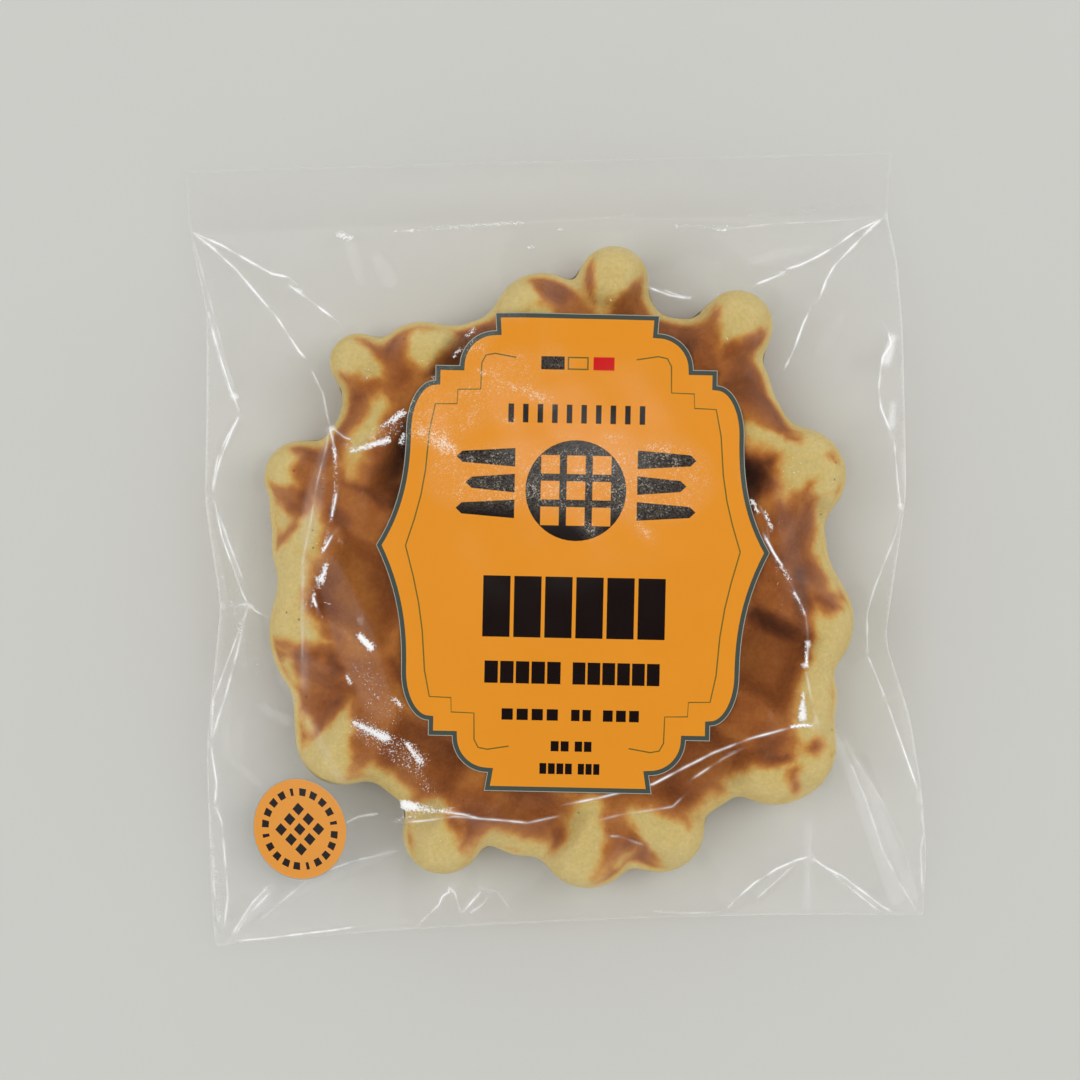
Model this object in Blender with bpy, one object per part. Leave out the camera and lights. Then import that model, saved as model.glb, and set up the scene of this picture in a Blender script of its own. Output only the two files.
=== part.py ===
"""A Liege waffle sealed in a clear film pouch, with a die-cut front label and a round badge.

The pouch is one closed solid out to its film. It lies on its back: the film is drawn over a lobed
waffle with a grid of ridges, runs down to the sealed edges, and ends in a flat fin at the top.
The label and the badge are thin plates that follow the film a little way above it.

Every size below is in millimetres. X runs across the pouch, Y towards its fin, and Z up from the
table. The origin is the middle of the pouch's box, on the table.
"""

import math

import bpy
import numpy as np
from mathutils import Vector
from mathutils.geometry import delaunay_2d_cdt

MM = 0.001

# ---- Waffle ----------------------------------------------------------------------------------

WAFFLE_TOP = 19.6
WAFFLE_MID = 10.0
RIM_ROUNDING = 7.0
POCKET_DEPTH = 6.5
TOP_UNEVENNESS = 0.5

# The dough's outline: round lobes joined smoothly to two large discs. Each is x, y and radius.
CORE_DISCS = ((0.0, -6.0, 46.0), (12.0, 9.5, 29.5))
LOBES = (
    (11.5, 44.0, 6.0),
    (0.0, 37.5, 8.0),
    (-21.5, 30.5, 8.0),
    (-32.0, 32.0, 5.0),
    (-42.5, 13.5, 6.5),
    (-39.0, 1.5, 9.0),
    (-34.0, -13.5, 15.0),
    (-37.0, -30.5, 7.5),
    (-21.0, -48.0, 6.5),
    (3.5, -50.0, 8.0),
    (15.5, -48.5, 7.5),
    (35.5, -35.0, 10.5),
    (38.0, -16.5, 12.0),
    (41.5, 10.0, 8.0),
    (32.0, 35.5, 6.0),
)
LOBE_BLEND = 3.0

# The ridges are two families at right angles. Each ridge is its offset from the grid's origin and
# where it starts and ends along its own direction.
GRID_ORIGIN = (1.8, -13.6)
GRID_TURN_DEG = 59.6
RIDGE_HALF_WIDTH = 5.2
RISING_RIDGES = (
    (-44.5, -20.0, 35.0),
    (-22.0, -42.0, 60.5),
    (0.0, -48.0, 63.5),
    (21.5, -39.0, 48.5),
    (42.0, -11.0, 20.0),
)
FALLING_RIDGES = (
    (42.5, -36.0, 30.0),
    (21.5, -57.5, 42.5),
    (0.0, -58.0, 50.0),
    (-22.0, -45.0, 37.0),
)

# ---- Pouch -----------------------------------------------------------------------------------

# The sealed side edges, as x at each y: straight where the film lies slack, pulled in beside the
# waffle's widest places.
LEFT_EDGE = (
    (-66.7, -61.2), (-60.5, -61.4), (-32.4, -60.9), (-8.2, -57.4),
    (9.7, -59.4), (25.5, -58.6), (42.2, -58.1), (56.3, -60.8), (66.7, -61.1),
)  # fmt: skip
RIGHT_EDGE = (
    (-66.7, 60.6), (-55.2, 61.4), (-44.8, 60.9), (-31.7, 59.2), (-18.4, 55.4),
    (6.1, 60.0), (34.7, 60.8), (46.6, 60.5), (54.4, 59.2), (66.7, 60.8),
)  # fmt: skip
EDGE_SOFTNESS = 2.0

# y at the left and at the right end of the pouch's cross seams.
BOTTOM_SEAM = (-66.7, -66.4)
TOP_SEAM = (56.3, 54.5)
FIN_END = (66.7, 65.0)

SEAM_THICKNESS = 0.8
CORNER_LIFT = 0.5
SIDE_LIFT = 6.5
BOTTOM_LIFT = 3.2
TOP_LIFT = 4.2
FIN_LIFT = 1.6

COLUMNS = 52
BODY_ROWS = 52
FIN_ROWS = 4
RELAXING_STEPS = 900
POCKET_SUCTION = 0.018

# The flat back on which the pouch rests, and the rings of film that rise from it to the edges.
REST_CENTRE = (0.0, -4.0)
REST_RADIUS = 42.0
BACK_RINGS = (0.4, 0.75)

# Straight folds where the film is pulled tight: two ends, height and half width.
FOLDS = (
    ((-60.4, 56.0), (-36.0, 40.0), 1.3, 2.4),
    ((-60.2, 55.6), (-38.2, 22.5), 1.3, 2.4),
    ((58.8, 54.0), (35.8, 43.0), 1.3, 2.4),
    ((58.6, 53.6), (40.3, 28.0), 1.3, 2.4),
    ((60.0, -65.8), (47.5, -36.0), 1.6, 3.0),
    ((-59.6, -65.4), (-38.2, -51.0), 1.2, 2.6),
    ((27.0, -65.4), (40.5, -55.5), 1.0, 2.2),
    ((53.5, -65.6), (41.5, -55.5), 1.0, 2.2),
)

# ---- Label and badge -------------------------------------------------------------------------

STICKER_THICKNESS = 0.4
STICKER_GAP = 0.35
STICKER_REACH = 1.2

LABEL_CENTRE = (2.9, -1.5)
LABEL_TURN_DEG = -3.5
LABEL_POINT_SPACING = 5.0
LABEL_HALF_HEIGHT = 39.7
LABEL_HALF_WIDTH = 32.6
LABEL_NECK = 13.5
UPPER_SHOULDER = (13.5, 30.9, 6.0, 6.0)
LOWER_SHOULDER = (23.5, 20.0, 4.7, 8.4)
SIDE_CURVE_POWER = 2.4
SHOULDER_STEPS = 6
SIDE_STEPS = 5

LABEL_COVER_FADE = 0.15

BADGE_CENTRE = (-45.8, -47.0)
BADGE_HALF_AXES = (8.0, 8.7)
BADGE_POINT_SPACING = 4.0
BADGE_STEPS = 28

# ---- Waffle under the film --------------------------------------------------------------------


def smooth_max(a, b, blend):
    """The larger of two heights, rounded over where they are about the same."""
    share = np.clip(0.5 + 0.5 * (a - b) / blend, 0.0, 1.0)
    return b + (a - b) * share + blend * share * (1.0 - share)


def smooth_step(value):
    value = np.clip(value, 0.0, 1.0)
    return value * value * (3.0 - 2.0 * value)


def depth_inside_waffle(x, y):
    """How far inside the dough's outline a point lies, negative outside it."""
    depth = np.full_like(x, -1000.0)
    for centre_x, centre_y, radius in CORE_DISCS + LOBES:
        disc = radius - np.hypot(x - centre_x, y - centre_y)
        depth = smooth_max(disc, depth, LOBE_BLEND)
    return depth


def grid_position(x, y):
    """A point's place along the rising ridges, and along the falling ones."""
    turn = math.radians(GRID_TURN_DEG)
    from_x = x - GRID_ORIGIN[0]
    from_y = y - GRID_ORIGIN[1]
    rising = from_x * math.cos(turn) + from_y * math.sin(turn)
    falling = from_x * math.sin(turn) - from_y * math.cos(turn)
    return rising, falling


def ridge_share(x, y):
    """1 on a ridge's crown and 0 on a pocket's floor."""
    rising, falling = grid_position(x, y)
    share = np.zeros_like(x)
    families = ((RISING_RIDGES, rising, falling), (FALLING_RIDGES, falling, rising))
    for ridges, along, across in families:
        for offset, start, end in ridges:
            overshoot = np.maximum(np.maximum(start - along, along - end), 0.0)
            distance = np.hypot(across - offset, overshoot)
            crown = 1.0 - smooth_step((distance - 0.5 * RIDGE_HALF_WIDTH) / RIDGE_HALF_WIDTH)
            share = np.maximum(share, crown)
    return share


def waffle_height(x, y):
    """The dough's upper surface, and the table outside its outline."""
    depth = depth_inside_waffle(x, y)
    inward = np.clip(depth / RIM_ROUNDING, 0.0, 1.0)
    rim = np.sqrt(1.0 - (1.0 - inward) ** 2)
    unevenness = TOP_UNEVENNESS * np.sin(x / 21.0 + 0.8) * np.cos(y / 26.0 - 0.4)
    crown = WAFFLE_TOP + unevenness - WAFFLE_MID
    filled = np.maximum(ridge_share(x, y), label_cover(x, y))
    height = crown - POCKET_DEPTH * (1.0 - filled)
    return np.where(depth > 0.0, WAFFLE_MID + rim * height, 0.0)


# ---- Film ------------------------------------------------------------------------------------


def between(ends, share):
    return ends[0] + (ends[1] - ends[0]) * share


def edge_x(edge, y):
    """The x of a sealed side edge at y, with its corners softened."""
    places = [place for place, _ in edge]
    values = [value for _, value in edge]
    nearby = (y - EDGE_SOFTNESS, y, y + EDGE_SOFTNESS)
    return sum(np.interp(place, places, values) for place in nearby) / len(nearby)


def film_point(across, up, low_seam, high_seam):
    """The point of the film at these shares of its width and of its length between two seams."""
    y = between((between(low_seam, across), between(high_seam, across)), up)
    x = between((edge_x(LEFT_EDGE, y), edge_x(RIGHT_EDGE, y)), across)
    return x, y


def edge_lift(across, up):
    """The height of the sealed edges: taut ones hang beside the waffle, corners droop."""
    beside = SIDE_LIFT * np.sin(math.pi * up) ** 0.8
    ends = (BOTTOM_LIFT, TOP_LIFT)
    below = between(ends, up) * np.sin(math.pi * across)
    on_side = np.abs(2.0 * across - 1.0) ** 2
    return CORNER_LIFT + beside * on_side + below * (1.0 - on_side)


def segment_distance(x, y, start, end):
    """Distance to a straight fold, and the share of its length that has been passed."""
    run = Vector(end) - Vector(start)
    along = ((x - start[0]) * run.x + (y - start[1]) * run.y) / run.length_squared
    along = np.clip(along, 0.0, 1.0)
    return np.hypot(x - start[0] - along * run.x, y - start[1] - along * run.y), along


def fold_height(x, y):
    height = np.zeros_like(x)
    for start, end, rise, half_width in FOLDS:
        distance, along = segment_distance(x, y, start, end)
        swell = np.sin(math.pi * np.clip(0.12 + 0.8 * along, 0.0, 1.0))
        height = np.maximum(height, rise * swell * np.exp(-((distance / half_width) ** 2)))
    return height


def label_cover(x, y):
    """1 under the label, which holds the film flat across the pockets, falling to 0 beside it."""
    turn = math.radians(LABEL_TURN_DEG)
    from_x = x - LABEL_CENTRE[0]
    from_y = y - LABEL_CENTRE[1]
    across = from_x * math.cos(turn) + from_y * math.sin(turn)
    up = from_y * math.cos(turn) - from_x * math.sin(turn)
    wide = (across / LABEL_HALF_WIDTH) ** 4
    high = (up / LABEL_HALF_HEIGHT) ** 4
    return 1.0 - smooth_step(((wide + high) ** 0.25 - 1.0) / LABEL_COVER_FADE)


def relaxed_film(x, y, edge_height):
    """A skin held at the edges and drawn tight over the waffle."""
    floor = waffle_height(x, y)
    film = np.maximum(edge_height, floor)
    dough = smooth_step(depth_inside_waffle(x, y) / 3.0)
    suction = POCKET_SUCTION * dough * (1.0 - label_cover(x, y))
    inner = (slice(1, -1), slice(1, -1))
    for _ in range(RELAXING_STEPS):
        around = film[:-2, 1:-1] + film[2:, 1:-1] + film[1:-1, :-2] + film[1:-1, 2:]
        film[inner] = np.maximum(0.25 * around - suction[inner], floor[inner])
    return film


def body_film():
    """Points of the film's upper side as rows, from the bottom seam to the top seam."""
    across = np.linspace(0.0, 1.0, COLUMNS + 1)[None, :].repeat(BODY_ROWS + 1, axis=0)
    up = np.linspace(0.0, 1.0, BODY_ROWS + 1)[:, None].repeat(COLUMNS + 1, axis=1)
    x, y = film_point(across, up, BOTTOM_SEAM, TOP_SEAM)
    edge_height = edge_lift(across, up) + SEAM_THICKNESS
    film = relaxed_film(x, y, edge_height)
    film[1:-1, 1:-1] += fold_height(x, y)[1:-1, 1:-1]
    return np.stack([x, y, film], axis=-1)


def fin_film(seam_heights):
    """Rows of the flat fin above the top seam, without the seam itself."""
    across = np.linspace(0.0, 1.0, COLUMNS + 1)
    rows = []
    for row in range(1, FIN_ROWS + 1):
        share = row / FIN_ROWS
        x, y = film_point(across, np.full_like(across, share), TOP_SEAM, FIN_END)
        outer = FIN_LIFT * np.sin(math.pi * across) + CORNER_LIFT + SEAM_THICKNESS
        rows.append(np.stack([x, y, between((seam_heights, outer), smooth_step(share))], axis=-1))
    return np.array(rows)


def film_height_at(film, x, y):
    """The height of the body's film over a point, between its grid's four nearest points."""
    columns_share = (x - edge_x(LEFT_EDGE, y)) / (edge_x(RIGHT_EDGE, y) - edge_x(LEFT_EDGE, y))
    low = between(BOTTOM_SEAM, columns_share)
    high = between(TOP_SEAM, columns_share)
    place_x = columns_share * COLUMNS
    place_y = (y - low) / (high - low) * BODY_ROWS
    column = int(min(max(place_x, 0), COLUMNS - 1))
    row = int(min(max(place_y, 0), BODY_ROWS - 1))
    corners = film[row:row + 2, column:column + 2, 2]
    lower, upper = (between(pair, place_x - column) for pair in corners)
    return between((lower, upper), place_y - row)


# ---- Meshes ----------------------------------------------------------------------------------


def material(name, colour, roughness):
    """A Principled material of one colour. Alpha under 1 is see-through film."""
    made = bpy.data.materials.new(name)
    made.use_nodes = True
    shader = made.node_tree.nodes["Principled BSDF"]
    shader.inputs["Base Color"].default_value = (*colour[:3], 1.0)
    shader.inputs["Roughness"].default_value = roughness
    shader.inputs["Metallic"].default_value = 0.0
    shader.inputs["Alpha"].default_value = colour[3]
    made.diffuse_color = colour
    return made


def add_object(name, points, faces, look):
    """A mesh object from points in millimetres."""
    mesh = bpy.data.meshes.new(name)
    mesh.from_pydata([Vector(point) * MM for point in points], [], faces)
    mesh.update()
    mesh.materials.append(look)
    mesh.shade_smooth()
    mesh.set_sharp_from_angle(angle=math.radians(40.0))
    made = bpy.data.objects.new(name, mesh)
    bpy.context.scene.collection.objects.link(made)
    return made


def grid_faces(index, facing_up):
    """Quads over a grid of point numbers."""
    faces = []
    rows, columns = index.shape
    for row in range(rows - 1):
        for column in range(columns - 1):
            face = (
                index[row, column],
                index[row, column + 1],
                index[row + 1, column + 1],
                index[row + 1, column],
            )
            faces.append([int(point) for point in (face if facing_up else face[::-1])])
    return faces


def ring_faces(outer, inner):
    """Downward quads between two rings that run counter-clockwise seen from above."""
    count = len(outer)
    faces = []
    for place in range(count):
        after = (place + 1) % count
        faces.append([int(p) for p in (outer[place], inner[place], inner[after], outer[after])])
    return faces


def around_grid(index):
    """The numbers of a grid's outer points, counter-clockwise from its first corner."""
    return np.concatenate(
        [index[0, :-1], index[:-1, -1], index[-1, :0:-1], index[:0:-1, 0]]
    )


def back_rings(seam_loop):
    """Rings of the back, from just inside the sealed edges to the flat that it rests on."""
    centre = np.array([*REST_CENTRE, 0.0])
    away = seam_loop - centre
    angle = np.arctan2(away[:, 1], away[:, 0])
    flat = np.zeros_like(seam_loop)
    flat[:, 0] = REST_CENTRE[0] + REST_RADIUS * np.cos(angle)
    flat[:, 1] = REST_CENTRE[1] + REST_RADIUS * np.sin(angle)
    rings = []
    for share in BACK_RINGS + (1.0,):
        ring = between((seam_loop, flat), share)
        ring[:, 2] = seam_loop[:, 2] * (1.0 - share) ** 1.2
        rings.append(ring)
    return rings


def build_pouch(body, fin, look):
    """The closed solid: film above, back below, and a narrow wall round the sealed edges."""
    upper = np.concatenate([body, fin])
    rows, columns = upper.shape[:2]
    upper_index = np.arange(rows * columns).reshape(rows, columns)
    points = list(upper.reshape(-1, 3))

    # The fin's underside, and with it the underside of the body's sealed edges.
    under = upper - np.array([0.0, 0.0, SEAM_THICKNESS])
    fin_under = np.arange((FIN_ROWS + 1) * columns).reshape(FIN_ROWS + 1, columns) + len(points)
    points.extend(under[BODY_ROWS:].reshape(-1, 3))

    body_upper = upper_index[:BODY_ROWS + 1]
    seam_above = around_grid(body_upper)
    on_top_seam = set(upper_index[BODY_ROWS].tolist())
    seam_below = []
    for number in seam_above.tolist():
        row, column = divmod(number, columns)
        if number in on_top_seam:
            seam_below.append(int(fin_under[0, column]))
        else:
            seam_below.append(len(points))
            points.append(under[row, column])

    loop = np.array([points[number] for number in seam_below])
    faces = grid_faces(upper_index, True) + grid_faces(fin_under, False)
    outer = seam_below
    for ring in back_rings(loop):
        inner = list(range(len(points), len(points) + len(ring)))
        points.extend(ring)
        faces += ring_faces(outer, inner)
        outer = inner
    faces.append(outer[::-1])

    # The wall runs up one side, round the fin and down the other side. It leaves out the top
    # seam, where the fin carries on.
    below_of = dict(zip(seam_above.tolist(), seam_below, strict=True))
    for row in range(1, FIN_ROWS + 1):
        for column in (0, columns - 1):
            below_of[int(upper_index[BODY_ROWS + row, column])] = int(fin_under[row, column])
    for column in range(columns):
        below_of[int(upper_index[-1, column])] = int(fin_under[FIN_ROWS, column])
    wall = around_grid(upper_index).tolist()
    for number, after in zip(wall, wall[1:] + wall[:1], strict=True):
        faces.append([number, below_of[number], below_of[after], after])
    return add_object("pouch", points, faces, look)


def turned(points, centre, angle_deg):
    """Outline points turned about their own origin and moved to a centre."""
    turn = math.radians(angle_deg)
    cos, sin = math.cos(turn), math.sin(turn)
    return [(centre[0] + x * cos - y * sin, centre[1] + x * sin + y * cos) for x, y in points]


def shoulder(centre_x, centre_y, radius_x, radius_y):
    """A quarter of an ellipse, from its top to its right-hand side."""
    angles = np.linspace(math.pi / 2, 0.0, SHOULDER_STEPS + 1)
    return [(centre_x + radius_x * math.cos(a), centre_y + radius_y * math.sin(a)) for a in angles]


def label_quarter():
    """The label's upper right outline: neck, two shoulders with a step each, and a pointed side."""
    step_y = UPPER_SHOULDER[1]
    points = [(LABEL_NECK, LABEL_HALF_HEIGHT)]
    points += shoulder(*UPPER_SHOULDER)
    points.append((LOWER_SHOULDER[0], step_y))
    points += shoulder(*LOWER_SHOULDER)
    side_x = LOWER_SHOULDER[0] + LOWER_SHOULDER[2]
    side_y = LOWER_SHOULDER[1]
    for step in range(1, SIDE_STEPS + 1):
        share = step / SIDE_STEPS
        bulge = (LABEL_HALF_WIDTH - side_x) * share**SIDE_CURVE_POWER
        points.append((side_x + bulge, side_y * (1.0 - share)))
    return points


def label_outline():
    """All round the label, clockwise from its neck at the upper right."""
    right = label_quarter()
    right += [(x, -y) for x, y in right[-2::-1]]
    return right + [(-x, -y) for x, y in right]


def badge_outline():
    angles = [-2.0 * math.pi * step / BADGE_STEPS for step in range(BADGE_STEPS)]
    return [(BADGE_HALF_AXES[0] * math.cos(a), BADGE_HALF_AXES[1] * math.sin(a)) for a in angles]


def with_long_sides_split(outline, spacing):
    """The same outline with extra points on its long straight sides."""
    points = []
    for start, end in zip(outline, outline[1:] + outline[:1], strict=True):
        pieces = max(1, round(math.dist(start, end) / spacing))
        for piece in range(pieces):
            share = piece / pieces
            points.append((between((start[0], end[0]), share), between((start[1], end[1]), share)))
    return points


def inner_points(outline, spacing):
    """Points of a square grid that lie well inside an outline round its own origin."""
    corners = np.array(outline)
    ends = np.roll(corners, -1, axis=0)
    reach = int(np.abs(corners).max() / spacing) + 1
    found = []
    for column in range(-reach, reach + 1):
        for row in range(-reach, reach + 1):
            x, y = column * spacing, row * spacing
            crosses = (corners[:, 1] > y) != (ends[:, 1] > y)
            slope = (ends[:, 0] - corners[:, 0]) / np.where(crosses, ends[:, 1] - corners[:, 1], 1.0)
            hits = crosses & (x < corners[:, 0] + slope * (y - corners[:, 1]))
            clear = np.hypot(corners[:, 0] - x, corners[:, 1] - y).min() > 0.45 * spacing
            if hits.sum() % 2 and clear:
                found.append((x, y))
    return found


def sticker_height(film, x, y):
    """The highest film close to a point, so that a flat facet clears the film between points."""
    near = (0.0, -STICKER_REACH, STICKER_REACH)
    return STICKER_GAP + max(film_height_at(film, x + dx, y + dy) for dx in near for dy in near)


def build_sticker(name, outline, spacing, centre, angle_deg, film, look):
    """A thin plate of this outline that follows the film."""
    outline = with_long_sides_split(outline, spacing)
    flat = outline + inner_points(outline, spacing)
    placed = turned(flat, centre, angle_deg)
    count = len(outline)
    edges = [(place, (place + 1) % count) for place in range(count)]
    corners, _, triangles, _, _, _ = delaunay_2d_cdt(
        [Vector(point) for point in placed], edges, [], 1, 1e-6
    )
    heights = [sticker_height(film, corner.x, corner.y) for corner in corners]
    below = [(c.x, c.y, z) for c, z in zip(corners, heights, strict=True)]
    above = [(x, y, z + STICKER_THICKNESS) for x, y, z in below]
    total = len(corners)
    faces = []
    for triangle in triangles:
        a, b, c = (corners[number] for number in triangle)
        facing_up = (b - a).cross(c - a) > 0.0
        upward = list(triangle) if facing_up else list(triangle)[::-1]
        faces.append([number + total for number in upward])
        faces.append(upward[::-1])
    # The outline runs clockwise, so each wall quad faces out in this order.
    for place, after in edges:
        faces.append([after, place, place + total, after + total])
    return add_object(name, below + above, faces, look)


def main():
    for old in list(bpy.data.objects):
        bpy.data.objects.remove(old, do_unlink=True)
    film_look = material("clear_film", (0.82, 0.83, 0.80, 0.35), 0.08)
    label_look = material("label_paper", (0.76, 0.27, 0.03, 1.0), 0.35)
    badge_look = material("badge_paper", (0.80, 0.28, 0.05, 1.0), 0.40)
    body = body_film()
    build_pouch(body, fin_film(body[-1, :, 2]), film_look)
    build_sticker(
        "label", label_outline(), LABEL_POINT_SPACING, LABEL_CENTRE, LABEL_TURN_DEG, body, label_look
    )
    build_sticker("badge", badge_outline(), BADGE_POINT_SPACING, BADGE_CENTRE, 0.0, body, badge_look)


main()
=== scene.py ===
"""The looks of a Liege waffle sealed in a clear film pouch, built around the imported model.

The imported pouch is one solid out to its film. Here it is replaced by the things a buyer sees: a baked
waffle with pale lobes and browned pockets, a front film drawn tight over it, a back film under it,
and the two printed stickers that lie on the front film.

Shapes are worked out in millimetres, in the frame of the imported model: X across the pouch, Y towards
its fin, Z up from the table.
"""

import math

import bpy
import numpy as np
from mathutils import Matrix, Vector
from mathutils.geometry import delaunay_2d_cdt


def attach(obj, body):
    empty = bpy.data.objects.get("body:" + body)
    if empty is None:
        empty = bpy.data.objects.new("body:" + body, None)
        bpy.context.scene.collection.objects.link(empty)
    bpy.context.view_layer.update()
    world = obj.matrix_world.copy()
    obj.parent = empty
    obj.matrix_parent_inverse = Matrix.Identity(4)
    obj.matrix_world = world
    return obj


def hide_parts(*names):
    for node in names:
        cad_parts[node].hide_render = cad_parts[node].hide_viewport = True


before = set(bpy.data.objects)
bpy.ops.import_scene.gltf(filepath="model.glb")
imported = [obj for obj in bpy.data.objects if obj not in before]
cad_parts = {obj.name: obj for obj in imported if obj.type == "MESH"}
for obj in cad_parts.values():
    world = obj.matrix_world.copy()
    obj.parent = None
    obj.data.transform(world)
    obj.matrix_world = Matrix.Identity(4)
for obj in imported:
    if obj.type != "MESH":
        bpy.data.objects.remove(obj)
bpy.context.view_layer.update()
BODY = "root"
MM = 0.001
SHARP_ANGLE_DEG = 50.0
MERGE_DISTANCE = 1e-5

# ---- The waffle's form and browning -------------------------------------------------------------

WAFFLE_TOP = 19.6
WAFFLE_MID = 10.0
WAFFLE_LOW = 0.5
RIM_ROUNDING = 7.0
RIM_SQUARENESS = 2.7
POCKET_DEPTH = 4.8
TOP_UNEVENNESS = 0.5
# The baked surface is lumpy, and its outline winds up and down: height, length and seed of each wave.
DOUGH_LUMPS = ((0.22, 7.0, 41), (0.1, 2.6, 42))
OUTLINE_WAVES = ((0.5, 16.0, 43),)
TOP_LUMP_ROOM = 0.25
BACK_LUMP_ROOM = 0.3

# The dough's outline: round lobes joined smoothly to two large discs. Each is x, y and radius.
CORE_DISCS = ((0.0, -6.0, 46.0), (12.0, 9.5, 29.5))
LOBES = (
    (11.5, 44.0, 6.0),
    (14.6, 38.4, 3.2),
    (-0.8, 37.8, 8.2),
    (-21.5, 30.5, 8.0),
    (-32.0, 32.0, 5.0),
    (-30.6, 25.4, 4.0),
    (-42.5, 13.0, 6.3),
    (-45.6, 7.2, 2.2),
    (-39.0, 1.5, 9.0),
    (-34.0, -13.5, 15.0),
    (-40.5, -26.0, 4.6),
    (-37.3, -31.2, 8.0),
    (-21.0, -48.0, 6.9),
    (-7.5, -47.5, 4.6),
    (3.5, -50.0, 8.3),
    (15.5, -48.5, 7.7),
    (24.0, -41.0, 4.4),
    (35.7, -35.1, 10.4),
    (40.5, -27.0, 6.0),
    (39.0, -14.5, 10.8),
    (41.5, 10.0, 8.0),
    (32.4, 26.5, 4.3),
    (24.6, 33.4, 2.9),
    (32.0, 35.5, 6.2),
)
LOBE_BLEND = 3.0

# The ridges: each is its offset from the grid's origin across it, and its two ends along it.
GRID_ORIGIN = (1.8, -13.6)
GRID_TURN_DEG = 59.6
RIDGE_HALF_WIDTH = 5.2
RISING_RIDGES = (
    (-44.5, -20.0, 35.0),
    (-22.0, -42.0, 60.5),
    (0.0, -48.0, 63.5),
    (21.5, -39.0, 48.5),
    (42.0, -11.0, 20.0),
)
FALLING_RIDGES = (
    (42.5, -36.0, 30.0),
    (21.5, -57.5, 42.5),
    (0.0, -58.0, 50.0),
    (-22.0, -45.0, 37.0),
)

# The mesh: rays from its centre, rings along the rounded rim, and rings further in.
WAFFLE_CENTRE = (0.0, -4.0)
WAFFLE_RAYS = 660
RIM_RINGS = 22
TOP_RINGS = 56
BACK_RINGS = 24
HIDDEN_RADIUS = 18.0
HIDDEN_RINGS = 6
OUTLINE_REACH = 62.0
OUTLINE_SAMPLES = 240
OUTLINE_HALVINGS = 24
# Neighbouring rays share their reach, which rounds the notches that they pass along.
RADIUS_SMOOTHING = ((-2, 0.12), (-1, 0.23), (0, 0.30), (1, 0.23), (2, 0.12))

# Where the dough stayed pale: strokes along the lobes and the ends of the ridges. Browned valleys cut
# into them, and darker streaks lie on the brown. A stroke is x, y and its half width at one end, the
# same at its other end, and its strength where that isn't 1.
PALE_STROKES = (
    (-32.6, 32.6, 4.7, -30.6, 31.2, 2.9),
    (-17.7, 35.6, 2.2, -21.2, 33.2, 2.9),
    (-21.6, 35.4, 2.1, -23.2, 35.1, 1.1),
    (-4.1, 42.2, 3.6, -6.2, 40.0, 2.3),
    (-1.7, 39.0, 1.8, 1.9, 38.8, 1.1),
    (-27.9, 25.2, 1.4, -31.0, 20.2, 1.8),
    (-31.0, 20.2, 1.8, -34.2, 13.8, 1.6),
    (-34.2, 13.8, 1.6, -35.7, 11.6, 0.9),
    (-46.0, 15.2, 3.6, -45.4, 13.3, 2.9),
    (-39.8, 8.2, 1.4, -41.8, 2.4, 3.2),
    (-45.4, 8.1, 2.1, -45.6, 5.2, 1.9),
    (-45.1, -0.8, 3.6, -45.7, -12.5, 3.8),
    (-43.8, -11.9, 2.6, -38.7, -14.4, 0.9),
    (-36.0, -25.0, 0.6, -38.8, -32.2, 4.0),
    (-38.8, -32.2, 4.0, -40.2, -34.5, 5.0),
    (-33.4, -36.2, 1.6, -27.4, -41.3, 1.5),
    (-22.4, -46.0, 4.3, -21.1, -49.5, 6.0),
    (-14.5, -48.4, 1.7, -4.3, -51.9, 1.7),
    (4.6, -42.9, 1.1, 2.5, -48.7, 4.3),
    (2.4, -48.7, 4.0, 0.6, -53.2, 5.7),
    (11.2, -45.8, 1.2, 18.3, -50.7, 6.0),
    (21.7, -46.2, 1.1, 24.3, -44.6, 1.1),
    (23.5, -45.6, 1.0, 29.4, -42.6, 1.1),
    (28.7, -41.9, 2.0, 33.3, -41.4, 3.7),
    (33.3, -41.4, 3.7, 40.1, -40.2, 5.9),
    (41.7, -37.4, 3.7, 42.9, -32.8, 3.4),
    (46.3, -15.2, 4.4, 44.5, -20.1, 3.8),
    (44.5, -20.1, 3.8, 42.5, -26.4, 3.1),
    (42.5, -26.4, 3.1, 41.9, -32.8, 3.2),
    (11.9, 45.5, 5.5, 10.0, 38.9, 1.8),
    (32.4, 37.3, 5.7, 30.5, 34.0, 2.8),
    (32.9, 17.5, 1.4, 41.8, 14.1, 3.2),
    (41.8, 14.1, 4.4, 43.7, 11.7, 6.0),
    (39.7, 11.5, 2.1, 38.3, 5.2, 1.1),
    (45.7, 5.3, 2.0, 44.2, -2.7, 1.6),
    (45.4, -4.6, 1.4, 46.4, -9.2, 1.2),
    (-45.9, -18.3, 1.2, -44.9, -21.3, 0.9),
    (-43.7, -26.6, 1.2, -42.0, -30.6, 1.5),
    (45.0, -3.8, 1.2, 46.5, -8.7, 1.4),
    (-35.8, -0.5, 3.0, -33.5, -14.0, 3.5, 0.2),
    (-35.6, -30.0, 1.1, -35.2, -32.0, 1.2, 0.5),
    (9.0, -47.0, 2.0, 11.0, -49.5, 1.5, 0.3),
    (8.4, -54.2, 1.2, 12.4, -49.8, 1.2, 0.75),
    (-35.8, -36.9, 0.7, -34.8, -37.3, 0.7, 0.6),
)
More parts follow.
